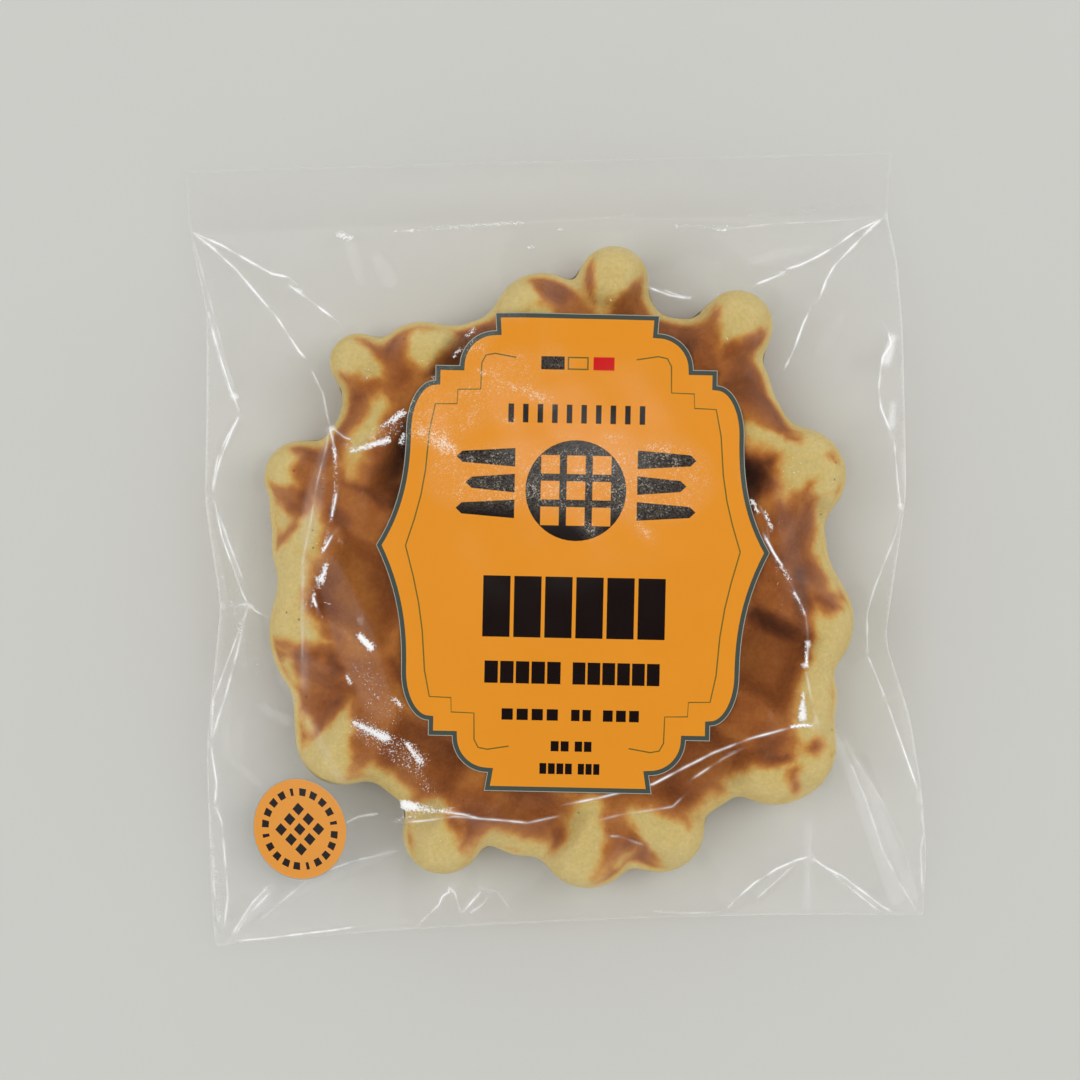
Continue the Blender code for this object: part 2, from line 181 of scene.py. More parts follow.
BROWN_STROKES = (
    (-2.2, 44.3, 0.3, 3.5, 38.9, 1.9),
    (-31.7, 36.0, 0.3, -26.1, 31.7, 1.3),
    (-23.6, 36.6, 0.5, -26.0, 31.7, 1.2),
    (-25.9, 33.0, 1.3, -24.9, 27.1, 2.9),
    (-35.3, 29.6, 0.4, -30.1, 27.3, 1.9),
    (-30.7, 27.0, 1.5, -32.8, 22.8, 1.2),
    (-32.8, 22.8, 1.2, -36.6, 17.8, 1.1),
    (-42.8, 18.1, 0.3, -37.3, 16.2, 1.9),
    (-47.4, 11.4, 0.3, -43.5, 9.3, 2.3),
    (-41.0, 13.7, 2.4, -37.2, 12.0, 3.1),
    (-46.8, 2.3, 0.2, -43.5, 4.8, 0.3),
    (-47.6, -14.5, 0.3, -38.8, -16.6, 1.4),
    (-43.4, -18.5, 0.9, -37.6, -20.5, 3.1),
    (-41.6, -24.5, 2.8, -39.1, -23.5, 3.1),
    (-42.5, -31.2, 0.2, -38.5, -24.9, 1.7),
    (-34.4, -35.9, 0.3, -32.8, -31.7, 2.3),
    (-17.3, -50.2, 0.6, -15.8, -46.9, 2.1),
    (-3.0, -51.6, 0.3, -1.4, -48.6, 1.7),
    (4.3, -55.9, 0.4, 7.3, -51.6, 1.5, 0.9),
    (7.3, -51.6, 1.5, 8.6, -48.2, 1.9, 0.7),
    (15.0, -53.8, 0.3, 12.0, -51.5, 0.7, 0.75),
    (12.0, -51.5, 0.7, 9.7, -49.6, 1.4, 0.65),
    (20.4, -47.8, 0.6, 17.2, -44.3, 2.0),
    (46.9, -12.6, 0.4, 42.2, -8.6, 2.3),
    (43.6, -9.8, 1.4, 45.2, -12.6, 1.2),
    (33.0, -36.8, 1.4, 36.6, -37.2, 1.2),
    (-18.9, -45.8, 0.7, -18.1, -48.6, 0.6),
    (41.2, -17.6, 1.3, 41.2, -20.4, 1.0),
    (-43.6, -16.2, 1.2, -41.0, -16.6, 1.2),
    (-37.8, 4.4, 1.1, -38.4, 1.4, 0.7, 0.7),
    (-38.9, -13.9, 0.6, -37.2, -14.6, 0.8, 0.8),
    (-42.4, -6.4, 0.8, -42.0, -8.6, 0.8, 0.5),
    (7.8, 46.9, 0.5, 5.0, 41.1, 2.8),
    (15.4, 42.9, 0.5, 11.6, 38.8, 1.7),
    (14.0, 38.7, 1.0, 19.2, 36.2, 1.3),
    (29.2, 38.8, 0.3, 25.8, 32.9, 2.8),
    (35.5, 34.4, 0.5, 31.4, 30.0, 2.7),
    (41.4, 16.0, 0.7, 32.1, 23.6, 2.5),
    (34.0, 27.9, 2.3, 34.8, 23.8, 2.0),
    (42.6, 8.2, 0.9, 40.5, 1.5, 3.2),
    (36.7, 12.2, 0.7, 34.6, 10.1, 3.4),
    (37.7, 4.3, 1.0, 39.1, -2.5, 3.4),
    (38.2, -39.9, 0.9, 38.1, -43.0, 0.7),
    (42.1, -35.3, 1.3, 41.6, -35.6, 1.2),
    (46.7, 13.3, 0.5, 47.6, 12.4, 0.6),
)
DARK_STROKES = (
    (-33.8, 15.1, 1.3, -27.3, 15.5, 2.9, 0.35),
    (-34.9, 11.6, 0.5, -27.0, 7.3, 0.7, 0.55),
    (32.0, -13.2, 1.1, 40.7, -16.7, 1.6, 0.5),
    (33.3, 11.1, 2.3, 34.9, 8.7, 2.0, 0.7),
    (25.1, 31.6, 2.3, 26.9, 27.5, 1.3, 0.35),
    (-29.4, 27.9, 1.0, -32.0, 26.4, 1.0, 0.25),
    (31.0, -28.4, 1.1, 25.0, -27.1, 0.7, 0.3),
    (35.3, -35.7, 1.6, 34.6, -37.1, 1.4, 0.35),
    (-16.4, -43.8, 2.1, -13.0, -45.0, 1.4, 0.25),
    (-37.2, -19.3, 1.0, -38.2, -17.9, 0.8, 0.6),
    (36.4, 12.4, 0.5, 35.9, 12.5, 0.5, 1.0),
    (38.7, 10.9, 0.7, 38.9, 7.2, 0.6, 0.35),
    (-38.5, -25.3, 0.6, -41.8, -30.3, 0.3, 0.3),
    (-46.7, -15.3, 0.3, -38.9, -17.3, 0.8, 0.2),
    (-33.9, 28.1, 0.6, -29.4, 26.3, 0.8, 0.2),
    (-27.8, -18.8, 1.0, -27.2, -20.9, 0.9, 0.4),
    (40.0, -7.0, 1.4, 41.4, -15.5, 1.9, 0.65),
    (43.3, -11.4, 1.2, 45.2, -12.2, 0.8, 0.45),
    (35.0, -4.0, 2.6, 39.0, -9.0, 2.4, 0.25),
    (34.2, -37.5, 1.3, 38.8, -36.5, 1.1, 0.5),
    (42.3, -33.8, 0.8, 43.3, -37.0, 0.7, 0.35),
    (27.0, -29.0, 2.2, 33.0, -33.0, 1.8, 0.25),
    (-19.2, -46.0, 1.0, -17.2, -46.8, 0.9, 0.5),
    (-18.0, -41.5, 1.4, -13.0, -42.0, 1.4, 0.25),
    (-38.9, -13.0, 0.8, -37.4, -14.0, 0.8, 0.5),
    (-41.8, 9.2, 1.2, -35.6, 5.4, 1.6, 0.5),
    (-43.6, -16.4, 0.8, -41.0, -16.9, 0.8, 0.55),
    (-25.0, 28.5, 1.3, -19.0, 31.8, 1.3, 0.3),
    (26.0, 36.0, 1.2, 31.0, 31.0, 1.4, 0.25),
    (34.0, 26.0, 1.4, 39.5, 19.0, 0.9, 0.3),
    (33.8, -35.0, 2.0, 38.2, -35.2, 1.4, 0.45),
    (41.2, -18.2, 1.0, 40.2, -23.5, 0.9, 0.45),
    (38.6, 13.0, 1.0, 38.0, 3.0, 1.8, 0.3),
)
PALE_SOFTNESS = 2.0
BROWN_SOFTNESS = 1.6
DARK_SOFTNESS = 1.2
# How far inside the outline the pale rim starts to brown, and where it is brown.
PALE_RIM = (0.3, 1.9)
# How brown the dough is away from the pale strokes, and what pocket walls, ridges and streaks change.
BROWN_LEVEL = 0.62
# Pocket walls are darker by their browning and by painted shade of the recesses.
WALL_BROWNING_AND_SHADE = 0.10
BROWN_OF_RIDGES = -0.05
BROWN_OF_STREAKS = 0.45
BROWN_OF_BACK = 0.7
MOST_BROWN = 1.2
BROWN_CLOUDS = ((0.07, 11.0, 31),)
# The strokes' edges wander, along X and along Y.
WANDER_X = ((0.4, 6.0, 21), (0.2, 2.2, 23))
WANDER_Y = ((0.4, 6.0, 22), (0.2, 2.2, 24))

# ---- The film, and where the stickers lie on it ------------------------------------------------

LEFT_EDGE = (
    (-66.7, -61.2), (-60.5, -61.4), (-32.4, -60.9), (-8.2, -57.4),
    (9.7, -59.4), (25.5, -58.6), (42.2, -58.1), (56.3, -60.8), (66.7, -61.1),
)  # fmt: skip
RIGHT_EDGE = (
    (-66.7, 60.6), (-55.2, 61.4), (-44.8, 60.9), (-31.7, 59.2), (-18.4, 55.4),
    (6.1, 60.0), (34.7, 60.8), (46.6, 60.5), (54.4, 59.2), (66.7, 60.8),
)  # fmt: skip
EDGE_SOFTNESS = 2.0
# Each line across the film by its y at the left and at the right, and how far its middle bows up.
BOTTOM_SEAM = (-66.7, -66.4, 2.0)
TOP_SEAM = (56.3, 54.5, 0.0)
FIN_END = (66.7, 65.0, 0.0)
# The film's edge belongs to its bottom seam below this y.
BOTTOM_EDGE = -64.2

# The sealed edges: the thickness of each film there, and how high their corners and middles lie.
FRONT_SEAM_THICKNESS = 0.6
BACK_SEAM_THICKNESS = 0.35
CORNER_LIFT = 0.5
SIDE_LIFT = 6.5
BOTTOM_LIFT = 3.2
TOP_LIFT = 4.2
FIN_LIFT = 1.6
SIDE_LIFT_POWER = 0.8

# The back film is flat within this circle, and rises to the edges outside it.
REST_CENTRE = (0.0, -4.0)
REST_RADIUS = 42.0
BACK_HEIGHT = 0.08
BACK_RISE_POWER = 1.3
FILM_CLEARANCE = 0.18
CLEARANCE_REACH = 3.0

# Over the dough the film is drawn inwards until its curvature is this, in 1/mm.
POCKET_PULL = 0.0134
# It is relaxed on ever finer grids: columns, rows of its body, and passes.
FILM_WIDTH = 120.0
FILM_GRIDS = ((52, 52, 900), (104, 104, 300), (208, 208, 260), (300, 290, 160))
FILM_MESH = 0.58
MESH_MARGIN = 0.3
ON_EDGE = 0.05
OUTLINE_STEPS = 200
BACK_GRID = (110, 120)
# The film touches the dough where the gap between them is small, buckles where the gap is wide, and is
# held still in this share of its width and length along the sealed edges.
TOUCH_GAP = 0.6
LOOSE_GAP = 2.0
HELD_MARGIN = 0.03
FILM_BUCKLES = ((0.10, 14.0, 61), (0.05, 6.0, 62))
TOUCHING_PUCKERS = ((0.05, 3.4, 64),)
STICKER_WAVES = ((0.04, 12.0, 65),)
FIN_FLUTTER = ((0.12, 16.0, 63),)
# How white the film is along its cut edges: its whitening and a painted highlight.
SIDE_WHITENESS = 0.3
BOTTOM_WHITENESS = 0.14
FIN_WHITENESS = 0.07
# How much each film mirrors face on, and its roughness: the back film lies crumpled on the table.
FRONT_GLOSS = (0.03, 0.09)
BACK_GLOSS = (0.02, 0.5)

# The label's outline: straight necks at its two ends, two quarter ellipses at each corner, as x and y
# of the centre and the two radii, and sides that curve out to a tip.
LABEL_CENTRE = (2.72, -1.55)
LABEL_TURN_DEG = -3.5
LABEL_HALF_HEIGHT = 39.92
LABEL_HALF_WIDTH = 32.83
UPPER_NECK = 13.72
LOWER_NECK = 13.98
TIP_RISE = 0.7
UPPER_SHOULDER = (13.5, 30.9, 6.0, 6.0)
LOWER_SHOULDER = (23.5, 20.0, 4.7, 8.4)
SIDE_CURVE_POWER = 2.4
SIDE_STEPS = 12
SHOULDER_STEPS = 14
LABEL_COVER_FADE = 0.15
LABEL_STIFF_EDGE = 0.6

BADGE_CENTRE = (-45.3, -46.5)
BADGE_HALF_AXES = (8.15, 8.9)
BADGE_COVER_FADE = 0.2

# A crease's white is partly the bent film's whitening and partly a painted highlight along its crest.
# Creases: each has its height, its half width, how white the bent film is, and the points along it.
CREASES = (
    # From the upper left corner
    (0.6, 2.0, 0.9, (-60.5, 56.3), (-55.4, 53.7), (-49.0, 49.6), (-46.5, 48.1), (-43.6, 47.3),
     (-41.9, 45.7)),
    (0.5, 1.6, 0.95, (-43.8, 46.1), (-41.3, 44.1), (-35.2, 39.0)),
    (0.6, 2.0, 0.9, (-60.5, 56.3), (-57.0, 53.4), (-52.8, 49.2), (-45.7, 40.3), (-42.0, 34.3),
     (-40.2, 32.2)),
    (0.3, 1.2, 0.3, (-40.2, 31.7), (-38.0, 26.8), (-37.1, 21.4)),
    (0.4, 1.6, 0.2, (-60.5, 56.3), (-58.0, 46.3), (-54.6, 32.1), (-53.4, 28.1)),
    (0.4, 1.4, 0.85, (-57.9, 42.3), (-56.8, 37.4), (-54.2, 28.6), (-52.7, 24.6)),
    # Down the left side
    (0.5, 1.4, 0.7, (-52.7, 23.9), (-54.0, 21.6), (-56.5, 16.3), (-58.2, 10.5)),
    (0.3, 1.0, 0.6, (-52.7, 23.9), (-54.9, 20.5), (-56.8, 17.0), (-58.2, 10.5)),
    (0.5, 1.4, 0.7, (-58.0, 10.2), (-57.5, 8.9), (-56.5, 3.4), (-53.2, -6.3), (-52.4, -7.8)),
    (0.3, 0.8, 0.45, (-57.3, 8.5), (-55.1, 1.9), (-52.8, -4.6)),
    (0.3, 0.9, 0.4, (-56.3, -8.2), (-52.4, -8.0), (-51.0, -9.2), (-48.3, -10.6)),
    (0.5, 1.4, 0.5, (-52.4, -8.3), (-55.1, -14.7), (-57.0, -18.9), (-59.4, -24.2), (-60.0, -31.0)),
    (0.4, 1.2, 0.55, (-52.4, -8.3), (-54.8, -16.7), (-56.9, -23.0), (-60.0, -31.0)),
    (0.4, 1.2, 0.7, (-60.1, -31.7), (-59.4, -38.3), (-59.9, -42.0)),
    (0.4, 1.4, 0.5, (-59.9, -42.0), (-58.8, -45.2), (-58.5, -57.9), (-59.6, -64.0)),
    (0.3, 1.0, 0.4, (-60.7, -49.9), (-60.9, -56.3), (-60.4, -63.0)),
    # From the lower left corner
    (0.5, 1.4, 0.7, (-58.5, -65.2), (-54.3, -59.2), (-51.5, -56.5)),
    (0.3, 1.0, 0.5, (-57.6, -64.6), (-55.1, -61.3), (-51.2, -57.5)),
    (0.3, 1.2, 0.75, (-58.0, -66.0), (-52.0, -65.7), (-47.0, -65.2), (-41.0, -64.7), (-37.0, -64.2)),
    (0.5, 2.2, 0.3, (-53.7, -62.7), (-44.0, -55.0), (-37.0, -52.4), (-27.9, -50.2)),
    (0.3, 1.0, 0.35, (-37.3, -45.5), (-35.0, -44.4), (-31.5, -43.9)),
    # Above the bottom seam
    (0.5, 1.2, 0.8, (-25.9, -63.9), (-22.3, -60.4), (-21.6, -58.8), (-20.4, -58.0), (-20.3, -57.0)),
    (0.4, 1.0, 0.6, (-20.3, -57.0), (-19.4, -58.3), (-19.0, -60.6), (-18.6, -62.3)),
    (0.4, 1.0, 0.8, (-18.6, -62.3), (-16.6, -60.0), (-15.0, -58.2)),
    (0.3, 0.8, 0.45, (-17.4, -62.4), (-15.2, -60.9), (-13.6, -59.2)),
    (0.5, 1.6, 0.15, (-16.0, -57.3), (-12.4, -58.3), (-10.0, -62.0)),
    (0.2, 0.8, 0.3, (14.0, -63.3), (20.4, -64.0), (25.3, -64.1)),
    # Towards the lower right corner
    (0.6, 1.6, 0.8, (26.1, -64.2), (28.7, -61.4), (31.5, -58.9), (35.2, -56.6), (38.6, -55.2),
     (41.0, -54.7)),
    (0.6, 1.6, 0.8, (41.0, -54.7), (44.1, -57.1), (46.7, -58.6), (53.6, -64.4), (55.2, -65.4)),
    (0.3, 0.8, 0.4, (31.8, -61.9), (34.4, -59.6), (38.6, -55.8)),
    (0.3, 0.9, 0.5, (44.7, -57.6), (48.7, -61.4), (53.2, -65.4)),
    (0.3, 1.6, 0.1, (41.5, -47.6), (40.8, -54.9), (40.7, -63.5)),
    (0.9, 2.0, 0.3, (46.2, -34.4), (50.6, -45.0), (53.6, -54.5), (56.9, -61.0), (59.7, -65.9)),
    (0.8, 1.8, 0.12, (47.6, -36.0), (51.0, -41.4), (54.6, -47.6), (57.4, -54.4), (60.0, -64.6)),
    # Up the right side
    (0.3, 1.0, 0.4, (60.6, -47.2), (61.0, -51.9), (60.4, -54.7), (60.6, -63.9)),
    (0.5, 1.4, 0.75, (54.9, -28.6), (56.7, -34.1), (60.2, -44.6)),
    (0.5, 1.4, 0.5, (51.9, -20.9), (53.3, -24.4), (54.9, -28.6)),
    (0.5, 1.4, 0.45, (58.9, 3.3), (57.8, -0.7), (53.5, -9.7), (52.0, -13.9), (51.9, -20.9)),
    (0.4, 1.2, 0.6, (58.2, 15.4), (58.5, 8.3), (58.9, 3.3)),
    (0.5, 1.3, 0.75, (58.1, 34.1), (58.6, 31.9), (56.9, 29.6), (55.9, 24.7), (56.1, 20.8),
     (58.2, 15.4)),
    # From the upper right corner
    (0.6, 1.8, 0.85, (58.5, 53.8), (53.7, 51.6), (50.0, 49.1), (46.7, 47.3), (43.4, 45.8),
     (40.5, 45.0)),
    (0.4, 1.2, 0.95, (41.0, 44.9), (39.5, 44.0), (35.3, 42.4)),
    (0.6, 1.8, 0.85, (58.5, 53.8), (56.6, 52.4), (51.1, 47.2), (49.2, 45.3), (47.8, 43.1),
     (46.4, 39.9)),
    (0.4, 1.4, 0.85, (45.3, 39.3), (43.2, 35.5), (41.3, 31.1), (39.5, 27.9)),
    (0.3, 0.8, 0.95, (17.4, 42.3), (20.8, 40.9), (23.6, 40.3)),
    (0.2, 0.6, 0.5, (19.4, 42.0), (22.2, 40.9), (24.4, 40.2)),
    (0.2, 0.8, 0.2, (30.2, 52.6), (39.7, 53.4), (48.9, 53.6), (56.6, 53.9)),
    # Over the waffle
    (0.4, 1.3, 0.2, (-37.1, 21.4), (-37.6, 18.1), (-39.3, 12.3), (-40.7, 5.7), (-42.3, -0.9),
     (-43.3, -22.7)),
    (0.3, 0.7, 0.8, (-37.1, 21.4), (-36.4, 18.1), (-36.1, 15.9)),
    (0.3, 0.7, 0.6, (-37.1, 21.4), (-34.5, 19.2), (-33.3, 18.8)),
    (0.3, 0.6, 0.8, (-36.2, 10.2), (-36.8, 7.6), (-37.3, 5.9)),
    (0.3, 0.6, 0.9, (-37.1, 3.2), (-38.4, 1.1), (-39.1, 0.1)),
    (0.3, 0.6, 0.9, (-40.9, -6.8), (-40.3, -9.0)),
    (0.4, 0.9, 0.55, (-29.0, -45.6), (-23.4, -45.2), (-18.7, -44.6), (-11.2, -45.6), (-6.6, -46.3),
     (-1.2, -45.3)),
    (0.3, 0.7, 0.85, (-21.5, -43.6), (-17.5, -44.3), (-14.5, -45.2)),
    (0.4, 0.9, 0.8, (-0.7, -43.5), (5.6, -42.5), (14.6, -40.6), (20.2, -37.9), (24.8, -35.8),
     (31.2, -33.6), (39.4, -31.7), (41.5, -31.7)),
    (0.2, 0.7, 0.25, (40.8, -22.5), (41.4, -27.0), (42.6, -32.3)),
    (0.2, 0.5, 0.5, (21.1, -40.0), (26.4, -36.8), (30.3, -35.0)),
    (0.4, 0.9, 0.12, (33.3, 6.9), (35.3, 2.7), (35.4, -1.3), (37.7, -5.3), (41.1, -13.6),
     (41.4, -17.6)),
    (0.2, 0.7, 1.0, (34.6, 0.4), (36.2, -2.9), (36.9, -4.1), (37.7, -5.3)),
    (0.2, 0.6, 0.95, (39.2, -9.3), (40.1, -11.2), (41.1, -13.6)),
    (0.2, 0.6, 0.8, (41.3, -17.6), (41.2, -19.6), (40.8, -22.3)),
    (0.2, 0.7, 0.3, (4.6, -46.4), (8.7, -45.5), (15.3, -44.8), (17.7, -44.5), (19.4, -43.0)),
    (0.2, 0.6, 0.35, (6.9, -49.0), (8.6, -49.1), (12.7, -50.8)),
)
CREST_SOFTNESS = 0.22
CREST_LINE = 0.17
CREASE_STEP = 0.5
# A crease fades over this part of its length at both ends, from a small share of its height.
END_FADE = 1.0 / 6.0
END_SHARE = 0.2
# The crest's white, whitening and painted highlight, comes and goes: its mean, its waves, least and most.
CREST_WHITE = 0.95
CREST_WAVES = ((0.85, 4.0, 53),)
CREST_RANGE = (0.15, 1.4)
# Rows of mesh beside each crest, as distances from it.
CREASE_ROWS = (0.1, 0.22, 0.42, 0.75, 1.15)

# Painted sheen: hazy pale places of the film that stand in for soft reflections, as strokes like those on
# the waffle.
PAINTED_FILM_SHEENS = (
    (-37.8, 18.0, 0.6, -40.2, 8.5, 1.6, 0.06),
    (-40.2, 8.5, 1.6, -41.6, 2.0, 1.0, 0.08),
    (-42.0, -1.0, 0.8, -43.0, -22.0, 0.7, 0.07),
    (-33.0, 52.5, 1.0, -31.5, 46.0, 0.7, 0.07),
    (-28.5, 50.0, 0.8, -26.5, 46.0, 1.5, 0.08),
    (35.0, 46.5, 0.6, 41.0, 48.3, 0.9, 0.08),
    (41.0, 48.3, 0.9, 45.5, 48.8, 0.4, 0.08),
    (46.0, 31.0, 0.9, 50.0, 37.0, 0.8, 0.04),
    (59.0, 33.0, 0.5, 57.6, 29.0, 0.8, 0.55),
    (58.4, 21.5, 0.4, 57.8, 18.0, 0.7, 0.45),
    (59.6, 13.0, 0.5, 59.9, 5.0, 0.3, 0.15),
    (45.8, -34.6, 0.5, 49.9, -45.3, 1.0, 0.13),
    (49.9, -45.3, 1.0, 56.0, -63.0, 1.3, 0.13),
    (47.2, -34.8, 0.3, 51.7, -43.7, 0.9, 0.12),
    (51.7, -43.7, 0.9, 58.8, -62.6, 1.0, 0.12),
    (-53.5, -60.5, 0.5, -30.0, -50.6, 0.8, 0.07),
    (-50.6, -25.4, 0.5, -46.6, -27.8, 0.9, 0.09),
    (-54.6, -28.0, 0.6, -55.6, -34.5, 0.8, 0.05),
    (-57.5, -64.0, 0.6, -51.5, -57.3, 1.1, 0.12),
    (-56.8, -23.0, 0.5, -57.6, -33.0, 0.9, 0.06),
    (-57.6, -33.0, 0.9, -52.0, -38.5, 0.5, 0.06),
    (-47.0, -20.5, 0.6, -42.0, -29.0, 0.9, 0.05),
    (-42.0, -29.0, 0.9, -37.5, -38.0, 0.6, 0.07),
    (-54.0, 3.0, 0.8, -53.5, -18.0, 0.6, 0.05),
    (37.2, 9.0, 0.9, 40.0, -9.0, 1.9, 0.02),
    (40.7, -49.0, 0.5, 40.7, -63.6, 0.8, 0.10),
    (-38.4, -2.0, 2.0, -34.4, -14.0, 3.4, 0.035),
    (-34.4, -14.0, 3.4, -30.5, -26.0, 2.4, 0.03),
)
PAINTED_FILM_SHEEN_SOFTNESS = 0.5
# Painted glints: white places with sparkling grains that stand in for the light's reflections where the
# film is finely crumpled.
PAINTED_GLINTS = (
    # Along the top seam
    (-34.8, 54.3, 0.9, -33.0, 53.8, 0.7, 0.6),
    (-26.0, 54.6, 0.3, -3.5, 55.2, 0.5, 0.5),
    (5.0, 55.2, 0.3, 16.5, 55.8, 0.3, 0.45),
    (22.5, 53.4, 0.4, 32.0, 53.2, 0.3, 0.5),
    (35.0, 55.0, 0.3, 57.0, 56.2, 0.3, 0.42),
    (-2.6, 50.6, 0.4, -1.6, 50.4, 0.4, 0.6),
    (-23.2, 54.6, 0.25, -22.2, 54.6, 0.25, 0.85),
    (-12.8, 54.4, 0.2, -11.8, 54.4, 0.2, 0.85),
    (2.4, 53.7, 0.25, 3.4, 53.6, 0.25, 0.8),
    (29.0, 52.6, 0.2, 31.4, 52.5, 0.25, 0.8),
    # Down both sides
    (-55.2, -7.5, 0.7, -53.8, -12.5, 0.9, 0.33),
    (-57.4, 1.0, 0.5, -56.4, -5.0, 0.6, 0.33),
    (-50.5, 3.0, 0.4, -51.0, -3.0, 0.4, 0.33),
    (-51.4, -14.0, 0.5, -51.0, -21.0, 0.6, 0.3),
    (-60.6, -48.0, 0.5, -60.0, -63.5, 0.6, 0.34),
    (-59.0, -20.0, 0.5, -59.8, -33.0, 0.5, 0.28),
    (45.5, -43.0, 0.4, 48.0, -44.5, 0.4, 0.25),
    # Beside the label's upper left
    (-13.6, 35.3, 0.25, -12.3, 36.4, 0.35, 0.85),
    (-15.7, 32.1, 0.25, -14.5, 33.2, 0.3, 0.9),
    (-19.6, 28.5, 0.2, -17.9, 29.2, 0.2, 0.8),
    (-28.5, 20.6, 0.25, -24.7, 22.9, 0.6, 0.9),
    (-33.4, 16.9, 0.3, -27.3, 18.5, 0.55, 0.95),
    (-25.2, 18.0, 0.4, -24.4, 19.6, 0.2, 0.95),
    (-34.0, 17.5, 1.2, -25.5, 20.5, 1.4, 0.3),
    (-31.0, 29.0, 0.5, -29.8, 29.2, 0.5, 0.42),
    # Down the left side of the waffle
    (-36.4, 17.7, 0.3, -36.2, 14.5, 0.3, 0.75),
    (-36.2, 13.9, 0.3, -36.5, 10.2, 0.25, 0.65),
    (-36.7, 9.9, 0.25, -37.2, 5.9, 0.3, 0.6),
    (-37.6, 4.6, 0.2, -38.9, 0.5, 0.25, 0.75),
    (-38.4, -1.7, 0.35, -39.3, -4.3, 0.55, 0.95),
    (-40.3, -4.0, 0.3, -39.4, -4.8, 0.4, 0.8),
    (-40.1, -5.2, 0.3, -41.1, -8.6, 0.3, 0.7),
    (-33.4, -13.9, 0.5, -31.6, -15.9, 0.7, 1.0),
    (-35.7, -20.2, 0.3, -35.3, -21.7, 0.35, 0.9),
    (-31.7, -23.5, 0.2, -30.7, -24.4, 0.2, 0.7),
    (-27.9, -24.7, 0.35, -26.9, -25.9, 0.35, 0.9),
    (-34.8, -28.4, 0.5, -29.6, -31.1, 0.9, 0.8),
    (-33.6, -29.3, 0.3, -30.2, -30.9, 0.4, 1.0),
    (-26.1, -32.3, 0.4, -24.0, -35.4, 0.45, 0.96),
    (-33.0, -19.0, 2.0, -29.0, -27.0, 2.6, 0.24),
    (-34.0, -29.0, 2.0, -25.0, -35.0, 2.6, 0.33),
    (-25.5, -36.0, 1.4, -22.0, -41.5, 1.2, 0.28),
    # Above the knob at the lower left
    (-27.0, -42.5, 0.9, -25.4, -42.9, 0.8, 0.96),
    (-25.0, -43.0, 0.9, -21.6, -43.6, 0.5, 0.62),
    (-28.8, -45.2, 0.15, -18.6, -43.2, 0.15, 0.75),
    (-27.1, -44.6, 0.9, -20.2, -43.4, 0.7, 0.36),
    # Down the right side of the waffle
    (32.9, 5.9, 0.35, 33.8, 4.0, 0.3, 0.9),
    (35.0, 4.0, 0.25, 36.1, 1.0, 0.3, 0.8),
    (36.6, -4.0, 0.5, 38.6, -7.4, 0.6, 0.45),
    (39.2, -9.5, 0.5, 41.0, -13.4, 0.4, 0.4),
    (40.8, -18.9, 0.25, 41.2, -22.0, 0.3, 0.75),
    (40.2, -26.4, 0.25, 39.9, -30.4, 0.8, 0.88),
    (38.1, -31.9, 0.3, 41.4, -32.0, 0.3, 0.8),
)
PAINTED_GLINT_SOFTNESS = 0.6

# ---- Prints on the label and the badge, in each sticker's own millimetres ---------------------

BORDER_LINE = 0.12
BORDER_WIDTH = 0.84
CONTOUR_WIDTH = 0.23
# The thin inner contour, for the label's upper right quarter. The other quarters mirror it.
CONTOUR = (
    (10.0, 32.4), (13.6, 33.0), (15.1, 32.7), (15.8, 31.4), (15.9, 27.0), (19.7, 26.9), (19.8, 24.5),
    (23.4, 24.4), (24.3, 20.0), (24.8, 13.5), (25.5, 9.0), (26.5, 4.8), (27.9, 0.0),
)  # fmt: skip
RECTANGLE_ROW = (30.5, 32.7)
BLACK_RECTANGLE = (-5.9, -2.0)
OPEN_RECTANGLE = (-1.5, 2.0)
RED_RECTANGLE = (2.8, 6.3)
OPEN_LINE = 0.25

# Rows of plain blocks where a pack has its words: the row's two ends, its foot and height, how many
# blocks it has, and the gap's share of their pitch.
BLOCK_ROWS = (
    (-11.2, 11.6, 21.6, 3.1, 10, 0.62),
    (-14.8, 15.6, -14.2, 10.2, 6, 0.12),
    (-14.3, -1.6, -21.9, 3.7, 5, 0.14),
    (0.4, 14.9, -21.9, 3.7, 6, 0.14),
    (-11.3, -1.9, -28.0, 1.9, 4, 0.25),
    (0.3, 3.6, -28.0, 1.9, 2, 0.25),
    (5.6, 11.6, -28.0, 1.9, 3, 0.25),
    (-3.0, 0.0, -33.1, 1.7, 2, 0.2),
    (1.0, 3.8, -33.1, 1.7, 2, 0.2),
    (-4.8, 0.6, -36.9, 1.8, 4, 0.2),
    (1.6, 5.2, -36.9, 1.8, 3, 0.2),
)

# The label's motif: a round waffle with square pockets, between bars with their foot, height and end.
ROUNDEL_CENTRE = (0.3, 10.4)
ROUNDEL_RADIUS = 8.4
ROUNDEL_STEPS = 48
ROUNDEL_POCKET = 3.1
ROUNDEL_PITCH = 4.3
SIDE_BARS = ((14.2, 3.1, 20.0), (9.9, 3.1, 18.4), (5.6, 3.1, 20.0))
SIDE_BAR_START = 10.2

# The badge's motif: a ring of dashes, each fifth one thinner, round a lattice of diamonds.
BADGE_STEPS = 72
BADGE_RIM = 0.15
BADGE_DASHES = 20
BADGE_DASH_RING = (5.9, 7.2)
BADGE_DASH_SHARE = 0.30
THIN_DASH_SHARE = 0.14
THIN_DASH_EVERY = 5
BADGE_DIAMOND = 1.12
BADGE_DIAMOND_PITCH = 2.5
